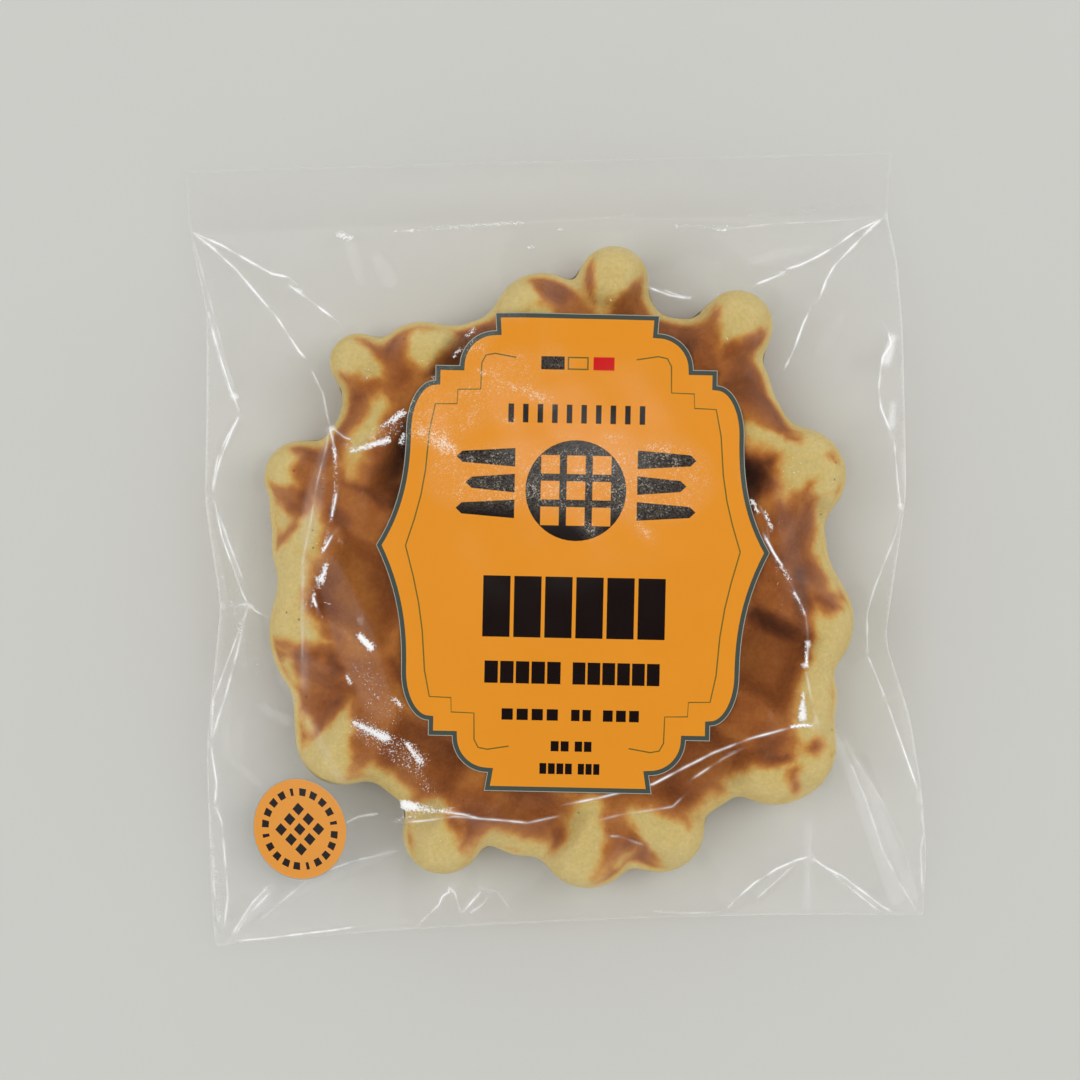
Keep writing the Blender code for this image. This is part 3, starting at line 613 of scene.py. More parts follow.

# Painted sheen: where the label's varnish glitters with reflected light, drawn as paler colour and bright
# flakes, as strokes again.
PAINTED_SHEENS = (
    # Along the border at the upper left
    (-28.0, 18.3, 0.7, -27.3, 24.9, 0.8, 0.62),
    (-27.3, 24.9, 0.8, -23.3, 27.8, 0.8, 0.62),
    (-22.9, 29.5, 0.6, -18.6, 33.0, 0.8, 0.56),
    (-18.6, 33.0, 0.8, -14.5, 36.2, 0.6, 0.62),
    (-13.2, 39.4, 0.4, -9.5, 39.4, 0.4, 0.5),
    # Patches over its upper half
    (-26.4, 20.0, 1.1, -22.0, 18.0, 1.5, 0.95),
    (-22.0, 18.0, 1.5, -19.3, 15.9, 0.8, 0.85),
    (-23.6, 13.3, 0.8, -20.4, 12.1, 0.8, 0.58),
    (-17.8, 11.3, 0.8, -15.5, 10.0, 0.8, 0.56),
    (-17.4, 34.7, 0.9, -15.7, 33.2, 0.9, 0.78),
    (-15.4, 29.9, 1.0, -10.2, 27.3, 1.0, 0.75),
    (-10.2, 27.3, 1.0, -4.6, 25.6, 0.9, 0.92),
    (-13.6, 22.9, 0.9, -10.3, 21.7, 0.9, 0.78),
    (-3.3, 19.5, 0.5, 0.0, 19.4, 0.5, 0.56),
    (-5.3, 33.7, 0.5, -3.0, 33.8, 0.5, 0.5),
    (5.3, 18.9, 0.8, 8.5, 19.4, 0.8, 0.78),
    (12.5, 18.5, 0.8, 16.7, 16.2, 1.0, 0.76),
    (16.7, 16.2, 1.0, 16.2, 12.5, 0.8, 0.7),
    (1.6, 5.9, 0.8, 3.2, 3.7, 0.8, 0.72),
    (10.3, 5.2, 0.9, 12.8, 3.1, 0.9, 0.76),
    (28.2, 14.8, 0.6, 30.4, 8.6, 0.6, 0.5),
    # A thinner glitter all round them
    (-22.0, 22.0, 5.0, -10.0, 30.0, 4.0, 0.42),
    (-20.0, 12.5, 5.0, 16.0, 12.5, 7.0, 0.45),
    (-5.6, 31.6, 1.6, -2.2, 31.6, 1.6, 0.45),
)
PAINTED_SHEEN_SOFTNESS = 1.6

STICKER_GAP = 0.05
STICKER_THICKNESS = 0.12
LABEL_MESH = 1.3
BADGE_MESH = 0.9
# The inner points of a sticker's mesh keep this share of its spacing from the printed lines.
CLEAR_OF_LINES = 0.4

# ---- Camera, light and floor -------------------------------------------------------------------

# The camera looks straight down on this point, and its view is this wide at the table.
CAMERA_OVER = (-2.64, 0.84)
VIEW_ACROSS = 186.2
CAMERA_HEIGHT = 600.0
CAMERA_TURN_DEG = -2.3
SENSOR = 36.0
FLOOR_SIZE = 8000.0
# Soft boxes: place and size in metres, power in watts, and whether glossy surfaces mirror it.
LIGHTS = (
    ("key", (0.004, 0.046, 1.0), (0.08, 0.03), 0.09, True),
    ("left_box", (-0.50, 0.02, 1.05), (0.50, 0.80), 3.0, False),
    ("right_box", (0.47, 0.16, 1.05), (0.50, 0.80), 3.5, False),
)
# The room's brightness by the sine of the height above the horizon.
SKY = ((0.0, 1.3), (0.5, 0.96), (0.8, 0.38), (1.0, 0.10))

# ---- Small mathematics ------------------------------------------------------------------------


def smooth_max(a, b, blend):
    """The larger of two heights, rounded over where they are about the same."""
    share = np.clip(0.5 + 0.5 * (a - b) / blend, 0.0, 1.0)
    return b + (a - b) * share + blend * share * (1.0 - share)


def smooth_step(value):
    value = np.clip(value, 0.0, 1.0)
    return value * value * (3.0 - 2.0 * value)


def between(ends, share):
    return ends[0] + (ends[1] - ends[0]) * share


def ripples(x, y, length, seed, count=14):
    """Smooth irregular waves of about this length, from -1 to 1."""
    draw = np.random.default_rng(seed)
    total = np.zeros_like(x)
    for _ in range(count):
        angle = draw.uniform(0.0, 2.0 * math.pi)
        wave = 2.0 * math.pi / (length * draw.uniform(0.7, 1.5))
        phase = draw.uniform(0.0, 2.0 * math.pi)
        total += np.sin(wave * (x * math.cos(angle) + y * math.sin(angle)) + phase)
    return total / math.sqrt(2.0 * count)


def waves(x, y, kinds):
    """Such ripples of several kinds added up, each with its height, its length and its seed."""
    return sum(height * ripples(x, y, length, seed) for height, length, seed in kinds)


def stroke_distance(x, y, start, end):
    """Distance to a straight stroke, and the share of its length that has been passed."""
    run_x, run_y = end[0] - start[0], end[1] - start[1]
    along = ((x - start[0]) * run_x + (y - start[1]) * run_y) / (run_x**2 + run_y**2)
    along = np.clip(along, 0.0, 1.0)
    return np.hypot(x - start[0] - along * run_x, y - start[1] - along * run_y), along


def path_distance(x, y, path):
    """Distance to a bent path, and the share of its pieces that has been passed."""
    nearest = np.full_like(x, 1e9)
    passed = np.zeros_like(x)
    pieces = len(path) - 1
    for number, (start, end) in enumerate(zip(path, path[1:])):
        distance, along = stroke_distance(x, y, start, end)
        closer = distance < nearest
        nearest = np.where(closer, distance, nearest)
        passed = np.where(closer, (number + along) / pieces, passed)
    return nearest, passed


# ---- Waffle -------------------------------------------------------------------------------------


def depth_inside_waffle(x, y):
    """How far inside the dough's outline a point lies, negative outside it."""
    depth = np.full_like(x, -1000.0)
    for centre_x, centre_y, radius in CORE_DISCS + LOBES:
        disc = radius - np.hypot(x - centre_x, y - centre_y)
        depth = smooth_max(disc, depth, LOBE_BLEND)
    return depth


def grid_position(x, y):
    """A point's place along the rising ridges, and along the falling ones."""
    turn = math.radians(GRID_TURN_DEG)
    from_x = x - GRID_ORIGIN[0]
    from_y = y - GRID_ORIGIN[1]
    rising = from_x * math.cos(turn) + from_y * math.sin(turn)
    falling = from_x * math.sin(turn) - from_y * math.cos(turn)
    return rising, falling


def ridge_share(x, y):
    """1 on a ridge's crown and 0 on a pocket's floor."""
    rising, falling = grid_position(x, y)
    share = np.zeros_like(x)
    families = ((RISING_RIDGES, rising, falling), (FALLING_RIDGES, falling, rising))
    for ridges, along, across in families:
        for offset, start, end in ridges:
            overshoot = np.maximum(np.maximum(start - along, along - end), 0.0)
            distance = np.hypot(across - offset, overshoot)
            crown = 1.0 - smooth_step((distance - 0.5 * RIDGE_HALF_WIDTH) / RIDGE_HALF_WIDTH)
            share = np.maximum(share, crown)
    return share


def rim_share(depth):
    """The rounded rim: 0 at the outline, 1 further in."""
    inward = np.clip(depth / RIM_ROUNDING, 0.0, 1.0)
    return (1.0 - (1.0 - inward) ** RIM_SQUARENESS) ** (1.0 / RIM_SQUARENESS)


def label_cover(x, y):
    """1 under the label, which holds the film flat across the pockets, falling to 0 beside it."""
    turn = math.radians(LABEL_TURN_DEG)
    from_x = x - LABEL_CENTRE[0]
    from_y = y - LABEL_CENTRE[1]
    across = from_x * math.cos(turn) + from_y * math.sin(turn)
    up = from_y * math.cos(turn) - from_x * math.sin(turn)
    wide = (across / LABEL_HALF_WIDTH) ** 4
    high = (up / LABEL_HALF_HEIGHT) ** 4
    return 1.0 - smooth_step(((wide + high) ** 0.25 - 1.0) / LABEL_COVER_FADE)


def crown_height(x, y):
    unevenness = TOP_UNEVENNESS * np.sin(x / 21.0 + 0.8) * np.cos(y / 26.0 - 0.4)
    return WAFFLE_TOP + unevenness - WAFFLE_MID


def waffle_height(x, y, filled=0.0):
    """The dough's upper surface, and the table outside its outline."""
    depth = depth_inside_waffle(x, y)
    share = np.maximum(ridge_share(x, y), filled)
    height = crown_height(x, y) - POCKET_DEPTH * (1.0 - share)
    return np.where(depth > 0.0, WAFFLE_MID + rim_share(depth) * height, 0.0)


def with_strength(stroke):
    """The stroke with its strength at its end, which is 1 where none is given."""
    return stroke if len(stroke) == 7 else (*stroke, 1.0)


def brushed(x, y, strokes, softness):
    """The strongest of these strokes at each point, from 0 to 1."""
    found = np.zeros_like(x)
    for *start, wide_start, end_x, end_y, wide_end, strength in map(with_strength, strokes):
        distance, along = stroke_distance(x, y, start, (end_x, end_y))
        width = between((wide_start, wide_end), along)
        stroke = smooth_step((width - distance) / (2.0 * softness) + 0.5)
        found = np.maximum(found, stroke * strength)
    return found


def browning(x, y, depth):
    """How brown the baked surface is: 0 is pale dough, 1 is a dark pocket wall."""
    wander_x, wander_y = x + waves(x, y, WANDER_X), y + waves(x, y, WANDER_Y)
    pale = brushed(wander_x, wander_y, PALE_STROKES, PALE_SOFTNESS)
    pale *= 1.0 - brushed(wander_x, wander_y, BROWN_STROKES, BROWN_SOFTNESS)
    rim = 1.0 - smooth_step((depth - PALE_RIM[0]) / (PALE_RIM[1] - PALE_RIM[0]))
    share = ridge_share(x, y)
    # Painted shade and browning on the pocket walls, darkest midway between floor and crown.
    wall = 4.0 * share * (1.0 - share)
    level = BROWN_LEVEL + WALL_BROWNING_AND_SHADE * wall + BROWN_OF_RIDGES * share + waves(x, y, BROWN_CLOUDS)
    streaks = BROWN_OF_STREAKS * brushed(wander_x, wander_y, DARK_STROKES, DARK_SOFTNESS)
    return np.clip((1.0 - np.maximum(pale, rim)) * level + streaks, 0.0, MOST_BROWN)


def outline_radius(angles):
    """How far the dough reaches from its centre along each ray."""
    cos, sin = np.cos(angles), np.sin(angles)
    reach = np.linspace(0.4 * OUTLINE_REACH, OUTLINE_REACH, OUTLINE_SAMPLES)[:, None]
    depth = depth_inside_waffle(WAFFLE_CENTRE[0] + reach * cos, WAFFLE_CENTRE[1] + reach * sin)
    last = len(reach) - 1 - np.argmax(depth[::-1] > 0.0, axis=0)
    low, high = reach[last, 0], reach[np.minimum(last + 1, len(reach) - 1), 0]
    for _ in range(OUTLINE_HALVINGS):
        middle = 0.5 * (low + high)
        inside = depth_inside_waffle(
            WAFFLE_CENTRE[0] + middle * cos, WAFFLE_CENTRE[1] + middle * sin
        ) > 0.0
        low, high = np.where(inside, middle, low), np.where(inside, high, middle)
    return sum(share * np.roll(low, shift) for shift, share in RADIUS_SMOOTHING)


def ring_radii(outline, inner_rings):
    """Rings from the outline inwards: close together round the rim, wide apart under the label."""
    turn = np.linspace(0.0, math.pi / 2, RIM_RINGS + 1)[1:]
    rim = [outline - RIM_ROUNDING * (1.0 - math.cos(t)) for t in turn]
    steps = np.linspace(0.0, 1.0, inner_rings + 1)[1:]
    inner = [between((rim[-1], np.full_like(outline, HIDDEN_RADIUS)), s) for s in steps]
    steps = np.linspace(1.0, 0.0, HIDDEN_RINGS + 1)[1:-1]
    hidden = [np.full_like(outline, HIDDEN_RADIUS * s) for s in steps]
    return rim + inner + hidden


def dough_side(outline, cos, sin, inner_rings, upper):
    """Points of one side as rings, from just inside the outline to its centre."""
    rings = np.array(ring_radii(outline, inner_rings))
    x = WAFFLE_CENTRE[0] + rings * cos
    y = WAFFLE_CENTRE[1] + rings * sin
    depth = np.maximum(depth_inside_waffle(x, y), 0.0)
    lumps = waves(x, y, DOUGH_LUMPS)
    pockets = POCKET_DEPTH * (1.0 - ridge_share(x, y))
    if upper:
        z = WAFFLE_MID + rim_share(depth) * (crown_height(x, y) - pockets + lumps - TOP_LUMP_ROOM)
    else:
        z = WAFFLE_MID - rim_share(depth) * (WAFFLE_MID - WAFFLE_LOW - pockets + lumps - BACK_LUMP_ROOM)
    return np.stack([x, y, z], axis=-1), browning(x, y, depth)


def build_waffle():
    """The dough as two sides of rings that share the outline, closed at their centres."""
    angles = np.linspace(0.0, 2.0 * math.pi, WAFFLE_RAYS, endpoint=False)
    cos, sin = np.cos(angles), np.sin(angles)
    outline = outline_radius(angles)
    x, y = outline * cos, outline * sin
    height = WAFFLE_MID + waves(x, y, OUTLINE_WAVES)
    rim = np.stack([WAFFLE_CENTRE[0] + x, WAFFLE_CENTRE[1] + y, height], axis=-1)
    points, colours, faces = [rim], [np.zeros(WAFFLE_RAYS)], []
    here = np.arange(WAFFLE_RAYS)
    after = np.roll(here, -1)
    count = WAFFLE_RAYS
    for upper, inner_rings in ((True, TOP_RINGS), (False, BACK_RINGS)):
        side, brown = dough_side(outline, cos, sin, inner_rings, upper)
        centre = side[-1].mean(axis=0)
        outer = 0
        for ring, colour in zip(side, brown):
            points.append(ring)
            colours.append(colour)
            quad = [outer + here, outer + after, count + after, count + here]
            faces += np.stack(quad if upper else quad[::-1], axis=-1).tolist()
            outer = count
            count += WAFFLE_RAYS
        points.append(centre[None])
        colours.append(np.array([BROWN_OF_BACK]))
        cap = [outer + here, outer + after, np.full_like(here, count)]
        faces += np.stack(cap if upper else cap[::-1], axis=-1).tolist()
        count += 1
    made = add_object("waffle", np.concatenate(points), faces, [dough_material()])
    set_values(made, "browning", np.concatenate(colours))
    return made


# ---- Film ---------------------------------------------------------------------------------------


def edge_x(edge, y):
    """The x of a sealed side edge at y, with its corners softened."""
    places = [place for place, _ in edge]
    values = [value for _, value in edge]
    nearby = (y - EDGE_SOFTNESS, y, y + EDGE_SOFTNESS)
    return sum(np.interp(place, places, values) for place in nearby) / len(nearby)


def seam_y(seam, across):
    """A seam's y at a share of the film's width."""
    left, right, bow = seam
    return between((left, right), across) + 4.0 * bow * across * (1.0 - across)


def film_point(across, up, low_seam, high_seam):
    """The point of the film at these shares of its width and of its length between two seams."""
    y = between((seam_y(low_seam, across), seam_y(high_seam, across)), up)
    x = between((edge_x(LEFT_EDGE, y), edge_x(RIGHT_EDGE, y)), across)
    return x, y


def edge_lift(across, up):
    """The height of the sealed edges: taut ones hang beside the waffle, corners droop."""
    beside = SIDE_LIFT * np.sin(math.pi * np.clip(up, 0.0, 1.0)) ** SIDE_LIFT_POWER
    at_ends = between((BOTTOM_LIFT, TOP_LIFT), up) * np.sin(math.pi * across)
    on_side = (2.0 * across - 1.0) ** 2
    return CORNER_LIFT + beside * on_side + at_ends * (1.0 - on_side)


def fin_height(across):
    """The height of the fin's far end at a share of its width."""
    return CORNER_LIFT + FIN_LIFT * np.sin(math.pi * across)


def unit_grid(columns, rows):
    across, up = np.meshgrid(np.linspace(0.0, 1.0, columns + 1), np.linspace(0.0, 1.0, rows + 1))
    return across, up


def resampled(values, columns, rows):
    """Values on a grid, read between its points on a finer grid."""
    old_rows, old_columns = values.shape
    at = np.linspace(0.0, old_columns - 1, columns + 1)
    wide = np.array([np.interp(at, np.arange(old_columns), row) for row in values])
    at = np.linspace(0.0, old_rows - 1, rows + 1)
    return np.array([np.interp(at, np.arange(old_rows), column) for column in wide.T]).T


def relaxed_film():
    """A skin held at its edges and drawn tight over the waffle, and what lies under it."""
    film = None
    for columns, rows, passes in FILM_GRIDS:
        across, up = unit_grid(columns, rows)
        x, y = film_point(across, up, BOTTOM_SEAM, TOP_SEAM)
        cover = label_cover(x, y)
        dough = smooth_step(depth_inside_waffle(x, y) / CLEARANCE_REACH)
        floor = waffle_height(x, y, cover) + FILM_CLEARANCE * dough
        edge = edge_lift(across, up) + FRONT_SEAM_THICKNESS
        start = edge if film is None else resampled(film, columns, rows)
        start[0], start[-1], start[:, 0], start[:, -1] = edge[0], edge[-1], edge[:, 0], edge[:, -1]
        film = np.maximum(start, floor)
        cell = FILM_WIDTH / columns
        pull = 0.25 * POCKET_PULL * cell**2 * dough * (1.0 - cover)
        inner = (slice(1, -1), slice(1, -1))
        for _ in range(passes):
            around = film[:-2, 1:-1] + film[2:, 1:-1] + film[1:-1, :-2] + film[1:-1, 2:]
            film[inner] = np.maximum(0.25 * around - pull[inner], floor[inner])
    return film, floor


def cubic_weights(share):
    """How much four grid points in a row count at a share of the way between the middle two."""
    square, cube = share**2, share**3
    return (
        0.5 * (2.0 * square - share - cube),
        0.5 * (2.0 - 5.0 * square + 3.0 * cube),
        0.5 * (share + 4.0 * square - 3.0 * cube),
        0.5 * (cube - square),
    )


def grid_value(grid, across, up):
    """A grid's value at these shares of its width and length, on smooth curves through its points."""
    rows, columns = grid.shape
    place_x = np.clip(across, 0.0, 1.0) * (columns - 1)
    place_y = np.clip(up, 0.0, 1.0) * (rows - 1)
    column = np.minimum(place_x.astype(int), columns - 2)
    row = np.minimum(place_y.astype(int), rows - 2)
    found = np.zeros_like(place_x)
    for step_y, weight_y in enumerate(cubic_weights(place_y - row)):
        near_row = np.clip(row + step_y - 1, 0, rows - 1)
        for step_x, weight_x in enumerate(cubic_weights(place_x - column)):
            near_column = np.clip(column + step_x - 1, 0, columns - 1)
            found += weight_y * weight_x * grid[near_row, near_column]
    return found


def film_share(x, y):
    """A point's share of the film's width, and of its length: 0 to 1 in its body, 1 to 2 in its fin."""
    left, right = edge_x(LEFT_EDGE, y), edge_x(RIGHT_EDGE, y)
    across = (x - left) / (right - left)
    low, seam, end = (seam_y(line, across) for line in (BOTTOM_SEAM, TOP_SEAM, FIN_END))
    return across, np.where(y < seam, (y - low) / (seam - low), 1.0 + (y - seam) / (end - seam))


def sticker_cover(x, y):
    """1 under a sticker, whose stiffness keeps creases out of the film."""
    (centre_x, centre_y), (half_x, half_y) = BADGE_CENTRE, BADGE_HALF_AXES
    badge = np.hypot((x - centre_x) / half_x, (y - centre_y) / half_y)
    under_badge = 1.0 - smooth_step((badge - 1.0) / BADGE_COVER_FADE)
    under_label = smooth_step(label_cover(x, y) * (1.0 + LABEL_STIFF_EDGE) - LABEL_STIFF_EDGE)
    return np.maximum(under_badge, under_label)


def creased(x, y):
    """The height that creases add, and how white their crests are, by whitening and painted highlight."""
    height = np.zeros_like(x)
    white = np.zeros_like(x)
    patchy = np.clip(CREST_WHITE + waves(x, y, CREST_WAVES), *CREST_RANGE)
    for rise, half_width, whitening_and_highlight, *path in CREASES:
        distance, passed = path_distance(x, y, path)
        fade = smooth_step(passed / END_FADE + END_SHARE)
        fade *= smooth_step((1.0 - passed) / END_FADE + END_SHARE)
        crest = np.sqrt(distance**2 + CREST_SOFTNESS**2) - CREST_SOFTNESS
        height += rise * fade * np.exp(-crest / half_width)
        line = np.exp(-((distance / CREST_LINE) ** 2))
        white = np.maximum(white, whitening_and_highlight * fade * patchy * line)
    return height, np.minimum(white, 1.0)


def front_film_height(x, y, film, floor):
    """The front film's height over points, how far it touches the dough, and its crests' whiteness."""
    across, up = film_share(x, y)
    taut = grid_value(film, across, up)
    gap = taut - grid_value(floor, across, up)
    held = sticker_cover(x, y)
    margin = np.minimum.reduce([across, 1.0 - across, up, np.maximum(1.0 - up, 0.0)])
    free = smooth_step(margin / HELD_MARGIN) * (1.0 - held)
    touch = (1.0 - smooth_step(gap / TOUCH_GAP)) * free
    rise, white = creased(x, y)
    rise += smooth_step(gap / LOOSE_GAP) * waves(x, y, FILM_BUCKLES)
    body = taut + free * rise + touch * waves(x, y, TOUCHING_PUCKERS) + held * waves(x, y, STICKER_WAVES)
    share = np.clip(up - 1.0, 0.0, 1.0)
    outer = fin_height(np.clip(across, 0.0, 1.0)) + FRONT_SEAM_THICKNESS
    flutter = waves(x, y, FIN_FLUTTER) * np.sin(math.pi * share)
    return between((body, outer), smooth_step(share)) + flutter, touch, white


def outline_points():
    """All round the front film, anticlockwise from its lower left corner."""
    steps = np.linspace(0.0, 1.0, OUTLINE_STEPS)[:-1]
    none, full = np.zeros_like(steps), np.ones_like(steps)
    sides = ((steps, none), (full, steps), (1.0 - steps, full), (none, 1.0 - steps))
    return np.concatenate(
        [np.stack(film_point(across, up, BOTTOM_SEAM, FIN_END), axis=-1) for across, up in sides]
    )


def crease_lines(path):
    """Points along a crease, and those of the rows beside it."""
    corners = np.array(path)
    passed = np.concatenate([[0.0], np.cumsum(np.hypot(*np.diff(corners, axis=0).T))])
    at = np.linspace(0.0, passed[-1], max(2, round(passed[-1] / CREASE_STEP)) + 1)
    crest = np.stack([np.interp(at, passed, corners[:, axis]) for axis in (0, 1)], axis=-1)
    run = np.gradient(crest, axis=0)
    side = np.stack([-run[:, 1], run[:, 0]], axis=-1) / np.linalg.norm(run, axis=1)[:, None]
    rows = [crest + sign * distance * side for distance in CREASE_ROWS for sign in (1.0, -1.0)]
    return crest, np.concatenate(rows)


def film_layout():
    """Flat points of the front film, with rows along each crease, and the edges that its mesh keeps."""
    outline = outline_points()
    number = np.arange(len(outline))
    points, edges = [outline], [np.stack([number, np.roll(number, -1)], axis=-1)]
    total = len(outline)
    placed = []
    for _, _, _, *path in CREASES:
        crest, rows = crease_lines(path)
        number = total + np.arange(len(crest))
        points.append(crest)
        edges.append(np.stack([number[:-1], number[1:]], axis=-1))
        clear = away_from(rows, placed, CREASE_ROWS[-1]) & away_from(rows, [path], 0.6 * CREASE_ROWS[0])
        rows = rows[clear]
        points.append(rows)
        total += len(crest) + len(rows)
        placed.append(path)
    reach = 1.2 * FIN_END[0]
    row_step = FILM_MESH * math.sqrt(0.75)
    x, y = np.meshgrid(np.arange(-reach, reach, FILM_MESH), np.arange(-reach, reach, row_step))
    x[::2] += 0.5 * FILM_MESH
    grid = np.stack([x.ravel(), y.ravel()], axis=-1)
    grid = grid[inside(outline.tolist(), grid[:, 0], grid[:, 1])]
    coarse_edge = closed(outline[::8].tolist())
    clear = away_from(grid, placed, CREASE_ROWS[-1] + MESH_MARGIN)
    clear &= away_from(grid, [coarse_edge], MESH_MARGIN)
    points.append(grid[clear])
    return np.concatenate(points), np.concatenate(edges), outline


def closed(outline):
    """An outline as a path that ends where it starts."""
    return outline + outline[:1]


def away_from(points, paths, distance):
    """Whether points lie further than this from each of some paths."""
    found = np.ones(len(points), bool)
    for path in paths:
        found &= path_distance(points[:, 0], points[:, 1], path)[0] > distance
    return found


def triangulated(points, edges, outline):
    """Flat triangles over points, inside a closed outline and turned up, with their own corner points."""
    vectors = [Vector(point) for point in points]
    corners, _, triangles, _, _, _ = delaunay_2d_cdt(vectors, edges, [], 0, MERGE_DISTANCE)
    flat = np.array([tuple(corner) for corner in corners])
    triangles = np.array(triangles)
    middle = flat[triangles].mean(axis=1)
    triangles = triangles[inside(outline, middle[:, 0], middle[:, 1])]
    used, triangles = np.unique(triangles, return_inverse=True)
    flat, triangles = flat[used], triangles.reshape(-1, 3)
    a, b, c = (flat[triangles[:, number]] for number in range(3))
    area = (b - a)[:, 0] * (c - a)[:, 1] - (b - a)[:, 1] * (c - a)[:, 0]
    return flat, np.where(area[:, None] > 0.0, triangles, triangles[:, ::-1])


def front_film(film, floor, look):
    """The film over the waffle, with its creases, and what its material reads at each point."""
    points, edges, outline = film_layout()
    flat, triangles = triangulated(points.tolist(), edges.tolist(), outline.tolist())
    x, y = flat[:, 0], flat[:, 1]
    height, touch, white = front_film_height(x, y, film, floor)
    made = add_object("film_front", np.stack([x, y, height], axis=-1), triangles.tolist(), [look])
    at_edge = ~away_from(flat, [closed(outline.tolist())], ON_EDGE)
    edge = np.where(y > TOP_SEAM[1], FIN_WHITENESS, SIDE_WHITENESS)
    edge = np.where(y < BOTTOM_EDGE, BOTTOM_WHITENESS, edge)
    # The white of crests and cut edges is whitening of the film together with a painted highlight.
    set_values(made, "whitening_and_highlight", np.maximum(white, edge * at_edge))
    set_values(made, "touch", touch)
    # Painted sheen: pale hazy marks in place of soft reflections in the film.
    set_values(made, "painted_film_sheen", brushed(x, y, PAINTED_FILM_SHEENS, PAINTED_FILM_SHEEN_SOFTNESS))
    # Painted glints: white marks in place of the light's reflections in the crumpled film.
    set_values(made, "painted_glint", brushed(x, y, PAINTED_GLINTS, PAINTED_GLINT_SOFTNESS))
    return made


def back_film(look):
    """The back film: flat where the pack rests, rising to the sealed edges and the fin."""
    columns, rows = BACK_GRID
    across, up = unit_grid(columns, rows)
    x, y = film_point(across, up, BOTTOM_SEAM, FIN_END)
    low, seam, end = (seam_y(line, across) for line in (BOTTOM_SEAM, TOP_SEAM, FIN_END))
    body_up = (y - low) / (seam - low)
    edge = edge_lift(across, np.clip(body_up, 0.0, 1.0))
    side_y = np.clip(y, low, seam)
    reach = np.hypot(x - REST_CENTRE[0], side_y - REST_CENTRE[1])
    to_side = np.abs(np.where(x > 0.0, edge_x(RIGHT_EDGE, y), edge_x(LEFT_EDGE, y)) - REST_CENTRE[0])
    to_end = np.where(y > REST_CENTRE[1], seam - REST_CENTRE[1], REST_CENTRE[1] - low)
    run_x = np.abs(x - REST_CENTRE[0]) / to_side
    run_y = np.abs(side_y - REST_CENTRE[1]) / to_end
    share_out = np.maximum(run_x, run_y)
    full = np.where(share_out > 0.0, reach / np.maximum(share_out, 1e-6), 1.0)
    rise = np.clip((reach - REST_RADIUS) / np.maximum(full - REST_RADIUS, 1.0), 0.0, 1.0)
    fin_share = smooth_step((y - seam) / (end - seam))
    z = between((edge * rise**BACK_RISE_POWER, fin_height(across)), fin_share)
    points = np.stack([x, y, z + BACK_HEIGHT + BACK_SEAM_THICKNESS * rise], axis=-1)
    index = np.arange(points.size // 3).reshape(x.shape)
    quads = [index[:-1, :-1], index[:-1, 1:], index[1:, 1:], index[1:, :-1]]
    faces = np.stack([quad.ravel() for quad in quads], axis=-1).tolist()
    return add_object("film_back", points.reshape(-1, 3), faces, [look])


# ---- Prints ---------------------------------------------------------------------------------------


def shoulder(centre_x, centre_y, radius_x, radius_y):
    """A quarter of an ellipse, from its top to its right-hand side."""
    angles = np.linspace(math.pi / 2, 0.0, SHOULDER_STEPS + 1)
    return [(centre_x + radius_x * math.cos(a), centre_y + radius_y * math.sin(a)) for a in angles]


def tip_raised(path, start, end):
    """The path, with what lies beyond start lifted ever more up to its tip."""
    return [(x, y + TIP_RISE * min(max((abs(x) - start) / (end - start), 0.0), 1.0)) for x, y in path]


def label_outline():
    """All round the label, clockwise from its neck at the upper right."""
    step_y = UPPER_SHOULDER[1]
    right = [(UPPER_NECK, LABEL_HALF_HEIGHT)]
    right += shoulder(*UPPER_SHOULDER)
    right.append((LOWER_SHOULDER[0], step_y))
    right += shoulder(*LOWER_SHOULDER)
    side_x = LOWER_SHOULDER[0] + LOWER_SHOULDER[2]
    side_y = LOWER_SHOULDER[1]
    for share in np.linspace(0.0, 1.0, SIDE_STEPS + 1)[1:]:
        bulge = (LABEL_HALF_WIDTH - side_x) * share**SIDE_CURVE_POWER
        right.append((side_x + bulge, side_y * (1.0 - share)))
    right += [(x, -y) for x, y in right[-2::-1]]
    right[-1] = (LOWER_NECK, -LABEL_HALF_HEIGHT)
    right = tip_raised(right, side_x, LABEL_HALF_WIDTH)
    return right + [(-x, y) for x, y in reversed(right)]


def ellipse(centre, half_x, half_y, steps):
    """Clockwise, as the label's outline runs."""
    turns = [-2.0 * math.pi * step / steps for step in range(steps)]
    return [(centre[0] + half_x * math.cos(a), centre[1] + half_y * math.sin(a)) for a in turns]


def rectangle(left, right, foot, top):
    return [(left, foot), (left, top), (right, top), (right, foot)]


def inset(outline, distance):
    """A clockwise outline moved inwards by a distance, with mitred corners."""
    points = np.array(outline)
    before = points - np.roll(points, 1, axis=0)
    after = np.roll(points, -1, axis=0) - points
    before /= np.linalg.norm(before, axis=1)[:, None]
    after /= np.linalg.norm(after, axis=1)[:, None]
    inward = np.stack([before[:, 1] + after[:, 1], -before[:, 0] - after[:, 0]], axis=-1)
    cos_half = 0.5 * np.linalg.norm(inward, axis=1)[:, None]
    inward /= np.linalg.norm(inward, axis=1)[:, None]
    return (points + inward * distance / np.maximum(cos_half, 0.5)).tolist()


def ribbon(path, width):
    """A closed outline round an open path."""
    points = np.array(path, float)
    run = np.gradient(points, axis=0)
    run /= np.linalg.norm(run, axis=1)[:, None]
    side = 0.5 * width * np.stack([-run[:, 1], run[:, 0]], axis=-1)
    return (points + side).tolist() + (points - side)[::-1].tolist()


def with_sides_split(outline, spacing):
    """The same outline with extra points on its long sides."""
    points = []
    for start, end in zip(outline, outline[1:] + outline[:1]):
        pieces = max(1, round(math.dist(start, end) / spacing))
        for piece in range(pieces):
            share = piece / pieces
            points.append((between((start[0], end[0]), share), between((start[1], end[1]), share)))
    return points


